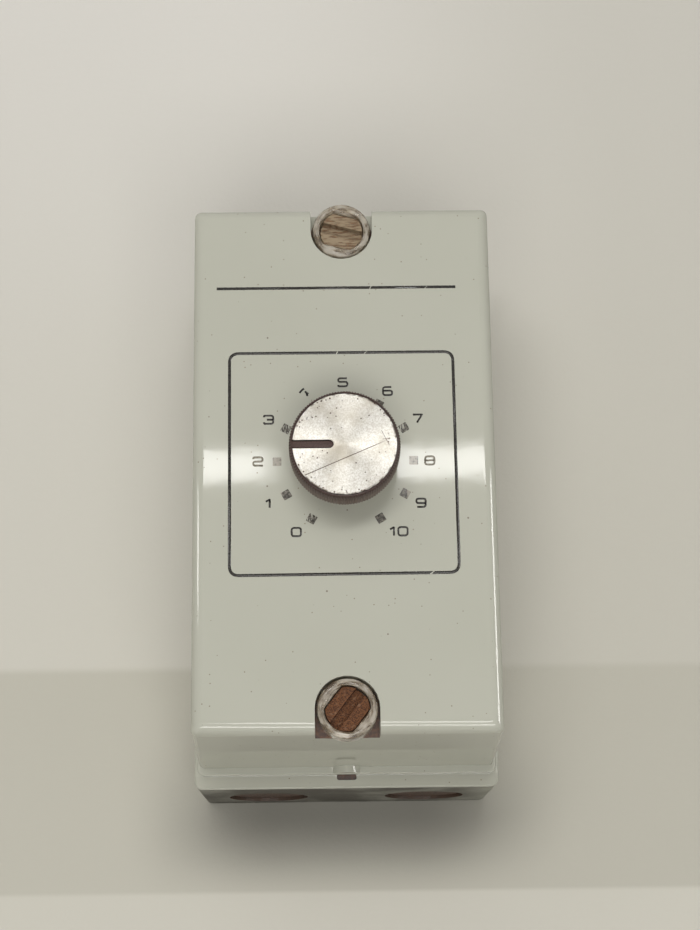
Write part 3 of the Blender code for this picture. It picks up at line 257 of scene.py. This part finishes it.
def smoothed(piece, angle):
    """Shade a piece smooth, except at edges that turn by more than so many degrees."""
    piece.data.shade_smooth()
    piece.data.set_sharp_from_angle(angle=math.radians(angle))


def eased(node, name, finish, body, width):
    """A copy of a CAD node with its sharp edges rounded off, which stands for the node."""
    shape = bmesh.new()
    shape.from_mesh(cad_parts[node].data)
    bmesh.ops.remove_doubles(shape, verts=shape.verts, dist=1e-6)
    bmesh.ops.recalc_face_normals(shape, faces=shape.faces)
    piece = made_of(name, shape, finish)
    sharp_angle = 30
    rounding = piece.modifiers.new("rounding", "BEVEL")
    rounding.width = width
    rounding.segments = 2
    rounding.limit_method = "ANGLE"
    rounding.angle_limit = math.radians(sharp_angle)
    rounding.use_clamp_overlap = True
    rounding.miter_outer = "MITER_ARC"
    smoothed(piece, sharp_angle)
    weighted = piece.modifiers.new("flats", "WEIGHTED_NORMAL")
    weighted.keep_sharp = True
    weighted.weight = 100
    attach(piece, body)
    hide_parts(node)


# ---------------------------------------------------------------- floor
# Three pale painted boards that the housing lies on. The middle one, which runs from below the
# dial to past the lower end, is a shade darker than the others. Beyond the lower wall it is
# painted darker still, a painted contact shadow, and towards the right it is painted darker, a
# painted shade.
floor_half = 2.0
upper_joint, upper_blur = -0.0410, 0.0015
lower_joint, lower_blur = -0.10765, 0.00085
shadow_foot, shadow_peak, shadow_top = -0.112, -0.086, -0.05
board = Finish("floor_board")
floor_x, floor_y, _ = board.axes()
upper_tone = board.blend(floor_y.rise(-0.05, 0.25), paint(205, 202, 192), paint(221, 218, 212))
tone = board.blend(floor_y.rise(upper_joint - upper_blur, upper_joint + upper_blur),
                   paint(190, 187, 175), upper_tone)
# Painted shade: the floor is painted darker towards the right.
tone = board.blend(floor_x.rise(-0.04, 0.10) * 0.45, tone, paint(182, 179, 167))
# Painted contact shadow: the floor is painted darker just beyond the lower wall.
floor_contact_shadow = floor_y.rise(shadow_foot, shadow_peak) * (1.0 - floor_y.rise(shadow_peak, shadow_top))
floor_contact_shadow = floor_contact_shadow * (1.0 - abs(floor_x).rise(0.02, 0.07))
tone = board.blend(floor_contact_shadow * 0.85, tone, paint(112, 110, 102))
tone = board.blend(floor_y.rise(lower_joint - lower_blur, lower_joint + lower_blur),
                   paint(203, 200, 189), tone)
tone = board.blend(board.noise(6.0, 3.0) * 0.10, tone, paint(170, 167, 155))
board.set(Base_Color=tone, Roughness=0.75)
board.bump(board.noise(700.0, 3.0), 0.00008)
shape = bmesh.new()
bmesh.ops.create_grid(shape, x_segments=1, y_segments=1, size=floor_half)
floor = made_of("floor", shape, board)

# ---------------------------------------------------------------- housing
# Base box and cover are brown phenolic mouldings, sprayed outside with a glossy warm grey
# lacquer. It is worn off in the screw notches and missing in the sealing slot of the base.
lacquer_grey = paint(182, 182, 169)
phenolic_brown = paint(92, 60, 38)
face_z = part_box("front_cover")[1].z
screw_y = (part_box("screw_cap_top")[0].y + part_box("screw_cap_top")[1].y) / 2
foot_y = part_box("front_cover")[0].y
land_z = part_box("base_box")[1].z

lacquer = Finish("grey_lacquer_on_phenolic")
x, y, z = lacquer.axes()
facing = lacquer.axes(lacquer.add("ShaderNodeTexCoord", output="Normal"))[2]
mottle = lacquer.noise(24.0, 4.0)
ragged = lacquer.noise(900.0, 4.0)
notch_floor_z = face_z - 0.0068
notch_half, notch_radius, notch_reach, notch_band = 0.0084, 0.0087, 0.0090, 0.0004
near_notch_floor = z > notch_floor_z - notch_band
notch_floor = (abs(x) < notch_half) * (0.0 - y > screw_y - notch_reach) * (facing > 0.5)
notch_floor = notch_floor * (z < notch_floor_z + notch_band) * near_notch_floor
screw_gap = lacquer.length(x, abs(y) - screw_y)
notch_wall = (z < notch_floor_z + 0.0002 + ragged * 0.0012) * near_notch_floor
notch_wall = (screw_gap < notch_radius) * notch_wall
slot_half, slot_front, slot_back, slot_lip = 0.0031, foot_y - 0.0021, foot_y + 0.0006, 0.0001
slot_bare = (abs(x) < slot_half) * (y > slot_front) * (y < slot_back) * (z < land_z - slot_lip)
entry_low, entry_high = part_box("entry_plug_right")
entry_radius = 0.01133
entry_gap = lacquer.length(abs(x) - (entry_low.x + entry_high.x) / 2,
                           z - (entry_low.z + entry_high.z) / 2)
entry_bare = (entry_gap < entry_radius) * (y < foot_y)
bare = (notch_floor + notch_wall + slot_bare + entry_bare).rise(0.4, 0.6)
chips = lacquer.cells(190.0, 0.060, 0.20)
fine_chips = lacquer.cells(560.0, 0.13, 0.26)
land_rounding, ledge, lug_half, lug_height = 0.0006, 0.0030, 0.0048, 0.008
end_wall = (y < foot_y - ledge) * (z < land_z - land_rounding) * (facing < 0.3)
patches = lacquer.noise(70.0, 5.0).rise(0.42, 0.72) * 0.30 + ragged.rise(0.5, 0.8) * 0.08
# Painted shade: the base's end wall is painted near black, less so in random patches, and lighter
# towards its right end as a painted reflection.
end_wall_shade = end_wall * (0.97 - x.rise(0.030, 0.042) * 0.35 - patches)
# Painted shade: the ledge in front of the cover foot is painted a little darker.
ledge_shade = (y < foot_y) * (z > land_z - land_rounding) * 0.16
sprayed_and_shaded = lacquer.blend(mottle.rise(0.3, 0.8) * 0.5, lacquer_grey, paint(176, 176, 162))
sprayed_and_shaded = lacquer.blend(ledge_shade, sprayed_and_shaded, paint(150, 146, 132))
sprayed_and_shaded = lacquer.blend(end_wall_shade, sprayed_and_shaded, paint(50, 45, 36))
# Painted shade: the lug is painted darker to tone down the highlight on its facets.
lug = (y < foot_y) * (abs(x) < lug_half) * (z > land_z) * (z < land_z + lug_height)
sprayed_and_shaded = lacquer.blend(lug * 0.35, sprayed_and_shaded, paint(136, 130, 114))
sprayed_and_shaded = lacquer.blend(fine_chips * 0.7, sprayed_and_shaded, paint(120, 105, 88))
sprayed_and_shaded = lacquer.blend(chips * 0.8, sprayed_and_shaded, paint(95, 78, 64))
moulding = lacquer.blend(ragged.rise(0.35, 0.65), phenolic_brown, paint(62, 40, 28))
moulding = lacquer.blend(entry_bare * 0.7, moulding, paint(66, 56, 47))
dullness = mottle * 0.022 + (chips + bare) * 0.35 + (end_wall + lug) * 0.55
lacquer.set(Base_Color=lacquer.blend(bare, sprayed_and_shaded, moulding), Roughness=0.032 + dullness, IOR=1.5)
flow = lacquer.noise(260.0, 2.0)
lacquer.bump(flow - (chips + fine_chips) * 3.0 - bare * ragged * 8.0, 0.000005)

eased("base_box", "base_moulding", lacquer, "housing", 0.00025)
eased("front_cover", "cover_moulding", lacquer, "housing", 0.00022)

# ---------------------------------------------------------------- printed dial
# Dark ink screened on the lacquer: a frame round the dial, square marks thirty degrees apart,
# the numbers 0 to 10 and a rule line. It is scratched, pale at 2 and 8, and worst at 4, whose
# mark is gone.
ink = Finish("dial_ink")
ink_x, ink_y, _ = ink.axes()
faded = ink.noise(1500.0, 3.0)
marks_half, marks_radius = 0.0195, 0.0197
among_marks = (abs(ink_x) < marks_half) * (ink.length(ink_x, ink_y) < marks_radius)
handled = (ink_y > 0.006) * (abs(ink_x) > 0.012) + (ink_y < -0.013) * (ink_x < -0.006)
thinned = (abs(ink_x) > 0.0166) * (ink_y < 0.004)
scored = ink.noise(1.0, 4.0, ink.stretched((2600.0, 420.0, 1.0), 0.7)).rise(0.54, 0.60)
bared = scored * handled * among_marks * 0.8
inside_frame = 0.0296
for side, line_y, nick_x, slope, half in ((1.0, 0.0304, -0.0016, 0.5, 0.00013),
                                          (1.0, 0.0304, 0.0061, 0.9, 0.00010),
                                          (-1.0, -0.0303, 0.0231, 1.2, 0.00022)):
    off_nick = ink_x - nick_x - (ink_y - line_y) * slope
    bared = bared + (abs(off_nick) < half) * (ink_y * side > inside_frame)
pale_low, pale_high, pale_half = 0.0208, 0.0262, 0.0022
paled = (abs(ink_y) < pale_half) * (abs(ink_x) > pale_low) * (abs(ink_x) < pale_high)
inky = ink.blend(faded.rise(0.4, 0.8), paint(34, 31, 27), paint(56, 52, 46))
inky = ink.blend(paled * (faded.rise(0.25, 0.75) * 0.4 + 0.5), inky, paint(158, 151, 135))
worn_ink = ink.blend((faded + thinned * 0.28).rise(0.35, 0.85),
                     paint(56, 52, 46), paint(150, 144, 131))
inky = ink.blend(among_marks, inky, worn_ink)
ink.set(Base_Color=ink.blend(bared.rise(0.0, 1.0), inky, lacquer_grey),
        Roughness=0.055 + faded * 0.04, IOR=1.5)
ink.bump(faded, 0.000004)
ink_coat = 0.00002


def rounded(points, radius, closed=False, steps=4):
    """A route through points, its corners rounded."""
    route = []
    count = len(points)
    for index, point in enumerate(points):
        here = Vector(point)
        if not closed and index in (0, count - 1):
            route.append(here)
            continue
        before = Vector(points[index - 1])
        after = Vector(points[(index + 1) % count])
        reach = min(radius, (before - here).length / 2, (after - here).length / 2)
        start = here + (before - here).normalized() * reach
        end = here + (after - here).normalized() * reach
        for step in range(steps + 1):
            share = step / steps
            onward = start.lerp(here, share)
            route.append(onward.lerp(here.lerp(end, share), share))
    return route


def printed(name, shape):
    """A flat shape at height zero, made as thick as a coat of ink and laid on the front."""
    sheet = bmesh.ops.extrude_face_region(shape, geom=shape.faces[:])["geom"]
    lifted = [item for item in sheet if isinstance(item, bmesh.types.BMVert)]
    bmesh.ops.translate(shape, verts=lifted, vec=(0.0, 0.0, 2 * ink_coat))
    bmesh.ops.translate(shape, verts=shape.verts, vec=(0.0, 0.0, face_z - ink_coat))
    bmesh.ops.recalc_face_normals(shape, faces=shape.faces)
    piece = made_of(name, shape, ink)
    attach(piece, "housing")


def stroked(name, routes, width):
    """Ink along routes, each with whether it closes: a curve drawn out into a ribbon."""
    line = bpy.data.curves.new(name, "CURVE")
    line.dimensions = "3D"
    line.extrude = width / 2
    for route, closed in routes:
        spline = line.splines.new("POLY")
        spline.points.add(len(route) - 1)
        spline.use_cyclic_u = closed
        for knot, place in zip(spline.points, route):
            knot.co = (place[0], place[1], 0.0, 1.0)
            knot.tilt = math.radians(90)
    drawn = bpy.data.objects.new(name + "_line", line)
    bpy.context.scene.collection.objects.link(drawn)
    scene_now = bpy.context.evaluated_depsgraph_get()
    ribbon = bpy.data.meshes.new_from_object(drawn.evaluated_get(scene_now))
    bpy.data.objects.remove(drawn, do_unlink=True)
    shape = bmesh.new()
    shape.from_mesh(ribbon)
    printed(name, shape)


corners = [(-0.03049, -0.03086), (0.02985, -0.03059), (0.02970, 0.03044), (-0.03064, 0.03043)]
frame_radius, frame_stroke, rule_stroke, rule_y = 0.0026, 0.00081, 0.00078, 0.0491
stroked("dial_frame", [(rounded(corners, frame_radius, True, 8), True)], frame_stroke)
stroked("rule_line", [([(-0.0342, rule_y), (0.0310, rule_y)], False)], rule_stroke)

numerals = {
    "0": [([(0, 0), (1, 0), (1, 1), (0, 1)], True)],
    "1": [([(0.0, 0.74), (0.42, 1.0), (0.42, 0.0)], False)],
    "2": [([(0, 0.8), (0, 1), (1, 1), (1, 0.5), (0, 0.5), (0, 0), (1.05, 0)], False)],
    "3": [([(0, 0.8), (0, 1), (1, 1), (1, 0), (0, 0), (0, 0.2)], False),
          ([(0.3, 0.5), (1, 0.5)], False)],
    "4": [([(0.0, 0.42), (0.36, 0.86), (0.52, 0.94)], False),
          ([(0.62, 0.62), (0.84, 0.30), (0.98, 0.42)], False),
          ([(0.80, 0.30), (0.88, 0.02)], False)],
    "5": [([(0.95, 1), (0, 1), (0, 0.56), (1, 0.56), (1, 0), (0, 0), (0, 0.18)], False)],
    "6": [([(0.92, 1), (0, 1), (0, 0), (1, 0), (1, 0.56), (0, 0.56)], False)],
    "7": [([(0, 1), (1, 1), (0.42, 0)], False)],
    "8": [([(0, 0), (1, 0), (1, 1), (0, 1)], True), ([(0, 0.52), (1, 0.52)], False)],
    "9": [([(0.08, 0), (1, 0), (1, 1), (0, 1), (0, 0.46), (1, 0.46)], False)],
}
numeral_width, numeral_height, numeral_stroke = 0.00245, 0.00226, 0.00053
round_corner, sharp_corner, narrow_width = 0.0007, 0.0001, 0.42
ten_shifts = (-0.00105, 0.00185)
number_places = [(-12.9, -19.3), (-20.4, -11.5), (-23.0, 0.1), (-20.1, 11.7), (-10.6, 19.3),
                 (-0.1, 22.0), (11.9, 19.4), (19.8, 11.6), (22.8, -0.1), (20.2, -11.7),
                 (13.4, -19.4)]
for number, (across, up) in enumerate(number_places):
    digits = str(number)
    routes = []
    for digit, shift in zip(digits, ten_shifts if len(digits) > 1 else (0.0,)):
        middle = narrow_width / 2 if digit == "1" else 0.5
        corner = sharp_corner if digit in "147" else round_corner
        for points, closed in numerals[digit]:
            placed = [(across * 0.001 + shift + (px - middle) * numeral_width,
                       up * 0.001 + (py - 0.5) * numeral_height) for px, py in points]
            routes.append((rounded(placed, corner, closed), closed))
    stroked(f"number_{number}", routes, numeral_stroke)

mark_radius, mark_size, mark_corner, dial_shift = 0.0182, 0.00235, 0.00016, 0.0003
for number in (0, 1, 2, 3, 5, 6, 7, 8, 9, 10):
    bearing = math.radians(240 - 30 * number)
    shape = bmesh.new()
    bmesh.ops.create_grid(shape, x_segments=1, y_segments=1, size=mark_size / 2)
    bmesh.ops.bevel(shape, geom=shape.verts[:], offset=mark_corner, segments=2, profile=0.5,
                    affect="VERTICES", material=-1)
    bmesh.ops.rotate(shape, verts=shape.verts, cent=(0, 0, 0),
                     matrix=Matrix.Rotation(bearing, 3, "Z"))
    bmesh.ops.translate(shape, verts=shape.verts, vec=(
        math.cos(bearing) * mark_radius + dial_shift, math.sin(bearing) * mark_radius, 0.0))
    printed(f"mark_{number}", shape)

# ---------------------------------------------------------------- entry plugs
# Blanking plugs of bare brown phenolic, pushed into the two cable entries from inside.
phenolic = Finish("bare_phenolic")
fleck = phenolic.noise(2200.0, 4.0)
dust = phenolic.noise(60.0, 3.0)
flecked = phenolic.blend(fleck.rise(0.35, 0.65), paint(80, 56, 42), paint(44, 30, 24))
phenolic.set(Base_Color=phenolic.blend(dust.rise(0.45, 0.8) * 0.25, flecked, paint(112, 92, 76)),
             Roughness=0.34 + fleck * 0.25)
phenolic.bump(fleck, 0.00006)
for side in ("left", "right"):
    eased(f"entry_plug_{side}", f"blanking_plug_{side}", phenolic,
          "housing", 0.0002)

# ---------------------------------------------------------------- cover screws
# A slotted core of brown phenolic, ringed by a clear cap that is scratched and yellowed. The
# core at the top is grey with dirt.
slot_brown = Finish("screw_phenolic")
grain = slot_brown.noise(3600.0, 3.0)
_, core_y, _ = slot_brown.axes()
streaks = slot_brown.noise(1.0, 4.0, slot_brown.stretched((420.0, 2300.0, 420.0), 0.26))
caked = streaks.rise(0.34, 0.58)
dirty = (core_y > 0.0) * (caked * 0.65 + 0.25)
worn = slot_brown.noise(900.0, 4.0).rise(0.56, 0.70) * 0.35
fresh = slot_brown.blend(grain.rise(0.38, 0.62), paint(112, 72, 42), paint(56, 31, 18))
scuffed = slot_brown.blend(worn, fresh, paint(158, 126, 100))
slot_brown.set(Base_Color=slot_brown.blend(dirty, scuffed, paint(154, 138, 114)),
               Roughness=0.5 + grain * 0.2, Specular_IOR_Level=0.25)
slot_brown.bump(grain + caked * (core_y > 0.0), 0.00008)

clear = Finish("clear_cap_plastic")
cap_x, cap_y, cap_z = clear.axes()
cap_up = abs(cap_y) - screw_y
cap_radius = clear.length(cap_x, cap_up)
from_axis = clear.add("ShaderNodeCombineXYZ", None, {0: cap_x, 1: cap_up})
outward = clear.add("ShaderNodeVectorMath", {"operation": "NORMALIZE"}, {0: from_axis})
outward_x, outward_y, _ = clear.axes(outward)
arc_length, arc_rings, arc_layers, arc_lot = 1.7, 1300.0, 500.0, 20.0
arcs = clear.noise(1.0, 3.0, clear.add("ShaderNodeCombineXYZ", None, {
    0: outward_x * arc_length + cap_y * arc_lot, 1: outward_y * arc_length,
    2: cap_radius * arc_rings + cap_z * arc_layers}))
haze = clear.noise(700.0, 4.0)
yellowed = clear.blend((arcs * 0.7 + haze * 0.3).rise(0.38, 0.60),
                       paint(238, 230, 214), paint(158, 142, 119))
clear.set(Base_Color=clear.blend(arcs.rise(0.58, 0.70) * 0.85, yellowed, paint(84, 66, 50)),
          Roughness=0.06 + haze.rise(0.45, 0.75) * 0.25, Transmission_Weight=0.6, IOR=1.49)
clear.bump(arcs * 2.0 + haze * 0.25, 0.00006)
for side in ("top", "bottom"):
    eased(f"cover_screw_{side}", f"slotted_core_{side}", slot_brown,
          f"screw_{side}", 0.00020)
    eased(f"screw_cap_{side}", f"clear_cap_{side}", clear,
          f"screw_{side}", 0.00012)

# ---------------------------------------------------------------- knob
# A push-on knob of dark brown phenolic: a ribbed rim on a narrower hub, with a pointer bar
# that comes up through the aluminium inlay.
knob_low, knob_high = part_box("knob_body")
knob_radius = knob_high.x
disc_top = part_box("knob_disc")[1].z
disc_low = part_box("knob_disc")[0].z
knob_dark = Finish("knob_phenolic")
speckle = knob_dark.noise(2400.0, 4.0)
_, _, knob_z = knob_dark.axes()
dust = 1.0 - knob_z.rise(disc_top - 0.0046, disc_top - 0.0026)
dust = dust * (0.20 + speckle.rise(0.3, 0.7) * 0.35)
rim = knob_z.rise(disc_top - 0.0016, disc_top - 0.0008) * 0.55
skirt = knob_dark.blend(speckle.rise(0.38, 0.65), paint(88, 66, 58), paint(58, 41, 36))
skirt = knob_dark.blend(dust, skirt, paint(128, 112, 100))
knob_dark.set(Base_Color=knob_dark.blend(rim, skirt, paint(52, 35, 31)),
              Roughness=0.36 + speckle * 0.2)
knob_dark.bump(speckle, 0.00003)

rim_low = disc_top - 0.0083
mouth = knob_radius - 0.0008
seat_low = disc_low - 0.0003
bore_radius, bore_top = 0.0033, face_z + 0.0119
hub_radius, hub_low, hub_edge = 0.0104, knob_low.z, 0.0005
profile = [(0.0, bore_top), (bore_radius, bore_top), (bore_radius, hub_low),
           (hub_radius - hub_edge, hub_low), (hub_radius, hub_low + hub_edge),
           (hub_radius, rim_low + 0.0006), (mouth - 0.0006, rim_low + 0.0006),
           (mouth - 0.0003, rim_low), (knob_radius - 0.0006, rim_low),
           (knob_radius - 0.0001, rim_low + 0.0005), (knob_radius, rim_low + 0.0010),
           (knob_radius, disc_top - 0.0010), (knob_radius - 0.0001, disc_top - 0.0005),
           (knob_radius - 0.00055, disc_top - 0.0001), (mouth, disc_top), (mouth, seat_low),
           (0.0, seat_low)]
rib_count, rib_depth, ribbed_within = 120, 0.00030, 0.0002
shape = bmesh.new()
points = [shape.verts.new((radius, 0.0, height)) for radius, height in profile]
edges = [shape.edges.new(pair) for pair in zip(points, points[1:])]
bmesh.ops.spin(shape, geom=points + edges, cent=(0, 0, 0), axis=(0, 0, 1),
               angle=math.tau, steps=2 * rib_count, use_merge=True)
bmesh.ops.remove_doubles(shape, verts=shape.verts, dist=1e-7)
bmesh.ops.recalc_face_normals(shape, faces=shape.faces)
for vert in shape.verts:
    away = vert.co.xy.length
    turn = round(math.atan2(vert.co.y, vert.co.x) / math.tau * 2 * rib_count)
    if turn % 2 and away > knob_radius - ribbed_within:
        vert.co.xy *= (away - rib_depth) / away
knob = made_of("ribbed_knob", shape, knob_dark)
smoothed(knob, angle=32)
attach(knob, "knob")
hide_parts("knob_body")

pointer_half, pointer_start, pointer_end, pointer_edge = 0.00095, 0.0030, mouth + 0.0002, 0.00018
pointer_top, pointer_low, nearly = disc_top - 0.00025, disc_low - 0.0005, 1e-6
shape = bmesh.new()
bmesh.ops.create_circle(shape, cap_ends=True, segments=16, radius=pointer_half)
for vert in shape.verts:
    vert.co.x = vert.co.x - pointer_start - pointer_half if vert.co.x > -nearly else -pointer_end
bar = bmesh.ops.extrude_face_region(shape, geom=shape.faces[:])["geom"]
lifted = [item for item in bar if isinstance(item, bmesh.types.BMVert)]
bmesh.ops.translate(shape, verts=lifted, vec=(0.0, 0.0, pointer_top - pointer_low))
bmesh.ops.translate(shape, verts=shape.verts, vec=(0.0, 0.0, pointer_low))
bmesh.ops.recalc_face_normals(shape, faces=shape.faces)
upper = [edge for edge in shape.edges if edge.calc_length() > 0
         and all(vert.co.z > pointer_top - nearly for vert in edge.verts)]
bmesh.ops.bevel(shape, geom=upper, offset=pointer_edge, segments=2, profile=0.5,
                affect="EDGES", material=-1)
pointer = made_of("pointer_bar", shape, knob_dark)
smoothed(pointer, angle=50)
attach(pointer, "knob")

# ---------------------------------------------------------------- knob inlay
# A disc of aluminium faced on a lathe, so it shows bright fans. Years of fingers have pitted
# it, and one long scratch runs across it.
spun = Finish("spun_aluminium")
disc_x, disc_y, _ = spun.axes()
radius = spun.length(disc_x, disc_y)
rings = spun.add("ShaderNodeTexNoise", {"noise_dimensions": "1D"},
                 {"W": radius * 9000.0, "Detail": 2.0})
cloud = spun.noise(150.0, 4.0)
edge_wear = radius.rise(0.0095, 0.0134)
frost = spun.noise(2600.0, 3.0)
grime_ring = radius.rise(0.0128, 0.0135) * spun.noise(500.0, 4.0).rise(0.40, 0.60)
pits = spun.cells(800.0, 0.22, 0.55) * cloud.rise(0.38, 0.55)
pits = pits + spun.cells(1000.0, 0.28, 0.55) * edge_wear
scratch_half, nick_half = 0.00012, 0.00009
off_scratch = disc_y + 0.00385 - disc_x * 0.431
scratch = (abs(off_scratch) < scratch_half) * (disc_x > -0.0103)
scratch = scratch * (1.0 - disc_x.rise(0.0068, 0.0120) * 0.8)
off_nick = disc_x - 0.0108 + (disc_y - 0.001) * 0.5
nicks = (abs(off_nick) < nick_half) * (disc_y > -0.0005) * (disc_y < 0.0035)
off_nick = disc_y - 0.0012 - (disc_x - 0.0105) * 0.1
nicks = nicks + (abs(off_nick) < nick_half) * (disc_x > 0.0098) * (disc_x < 0.0118)
stains_and_centre_shade = spun.blend(frost.rise(0.30, 0.70) * 0.7, paint(242, 240, 234), paint(200, 193, 180))
# Painted shade: the middle of the disc is painted darker to tone down the bright centre of the
# fans. The clouds are random tarnish.
clouds_and_centre_shade = cloud.rise(0.42, 0.72) * 0.6 + (1.0 - radius.rise(0.001, 0.006)) * 0.3
stains_and_centre_shade = spun.blend(clouds_and_centre_shade, stains_and_centre_shade, paint(190, 182, 166))
dirt = (pits * 0.8 + nicks * 0.6 + scratch * 0.8 + grime_ring * 0.8).rise(0.05, 0.95)
spun.set(Base_Color=spun.blend(dirt, stains_and_centre_shade, paint(98, 82, 70)),
         Metallic=1.0, Roughness=0.27 + rings * 0.12 + pits * 0.2, Anisotropic=0.9)
spun.bump(rings * 0.35 + frost * 0.5 - pits - scratch - nicks, 0.00002)
dress(spun, "knob_disc")

# ---------------------------------------------------------------- works inside
# Behind the cover: a folded aluminium heat sink, plated steel bracket and screws, turned brass,
# a brown laminate board and its parts. Each kind of stuff has one finish with its own grain.
fours = [f"{name}_{n}" for name in ("channel_screw", "board_screw", "terminal_screw")
         for n in (1, 2, 3, 4)]
works = [
    ("folded_aluminium", (170, 170, 168), 1.0, 0.38, (900.0, 30.0, 900.0), 0.00002,
     ["heat_sink_channel"]),
    ("plated_steel", (150, 150, 142), 1.0, 0.32, (500.0, 500.0, 500.0), 0.00002,
     ["dial_bracket", "pot_case", "pot_washer", "bracket_screw_left", "bracket_screw_right",
      "triac_screw"] + fours),
    ("turned_brass", (196, 160, 96), 1.0, 0.30, (200.0, 200.0, 2500.0), 0.00002,
     ["pot_shaft", "pot_wiper", "pot_bush", "pot_nut", "pot_lug_1", "pot_lug_2", "pot_lug_3",
      "fuse_clip_1", "fuse_clip_2", "earth_screw", "thread_insert_top", "thread_insert_bottom"]),
    ("enamelled_copper", (170, 92, 52), 1.0, 0.30, (800.0, 800.0, 800.0), 0.00001,
     ["choke_winding"]),
    ("sintered_ferrite", (62, 62, 64), 0.0, 0.60, (1500.0, 1500.0, 1500.0), 0.00003,
     ["choke_core"]),
    ("brown_laminate", (150, 116, 70), 0.0, 0.50, (1800.0, 250.0, 900.0), 0.00003,
     ["circuit_board", "pot_track"]),
    ("nylon_white", (208, 203, 188), 0.0, 0.42, (700.0, 700.0, 700.0), 0.00002,
     ["terminal_block", "resistor_1", "resistor_2"]
     + [f"board_spacer_{n}" for n in (1, 2, 3, 4)]),
    ("wrapped_film", (196, 160, 60), 0.0, 0.36, (120.0, 120.0, 2600.0), 0.00003,
     ["filter_capacitor", "timing_capacitor"]),
    ("black_moulding", (40, 40, 41), 0.0, 0.48, (1400.0, 1400.0, 1400.0), 0.00002,
     ["triac", "trigger_diode"]),
    ("soft_rubber", (38, 37, 36), 0.0, 0.72, (900.0, 900.0, 900.0), 0.00004, ["cover_gasket"]),
    ("grey_insulation", (118, 118, 120), 0.0, 0.5, (600.0, 600.0, 120.0), 0.00002,
     ["pot_ribbon"]),
    ("fuse_glass", (215, 220, 216), 0.0, 0.12, (300.0, 300.0, 300.0), 0.00001, ["fuse"]),
]
shade, gloss_change = 0.78, 0.16
for name, colour, metal, roughness, grain_scale, grain_depth, nodes in works:
    stuff = Finish(name)
    weave = stuff.noise(1.0, 3.0, stuff.stretched(grain_scale))
    dull = stuff.noise(45.0, 3.0).rise(0.3, 0.8) * 0.5
    darker = paint(*(shade * part for part in colour))
    stuff.set(Base_Color=stuff.blend(dull, paint(*colour), darker), Metallic=metal,
              Roughness=roughness - gloss_change / 2 + weave * gloss_change)
    stuff.bump(weave, grain_depth)
    dress(stuff, *nodes)
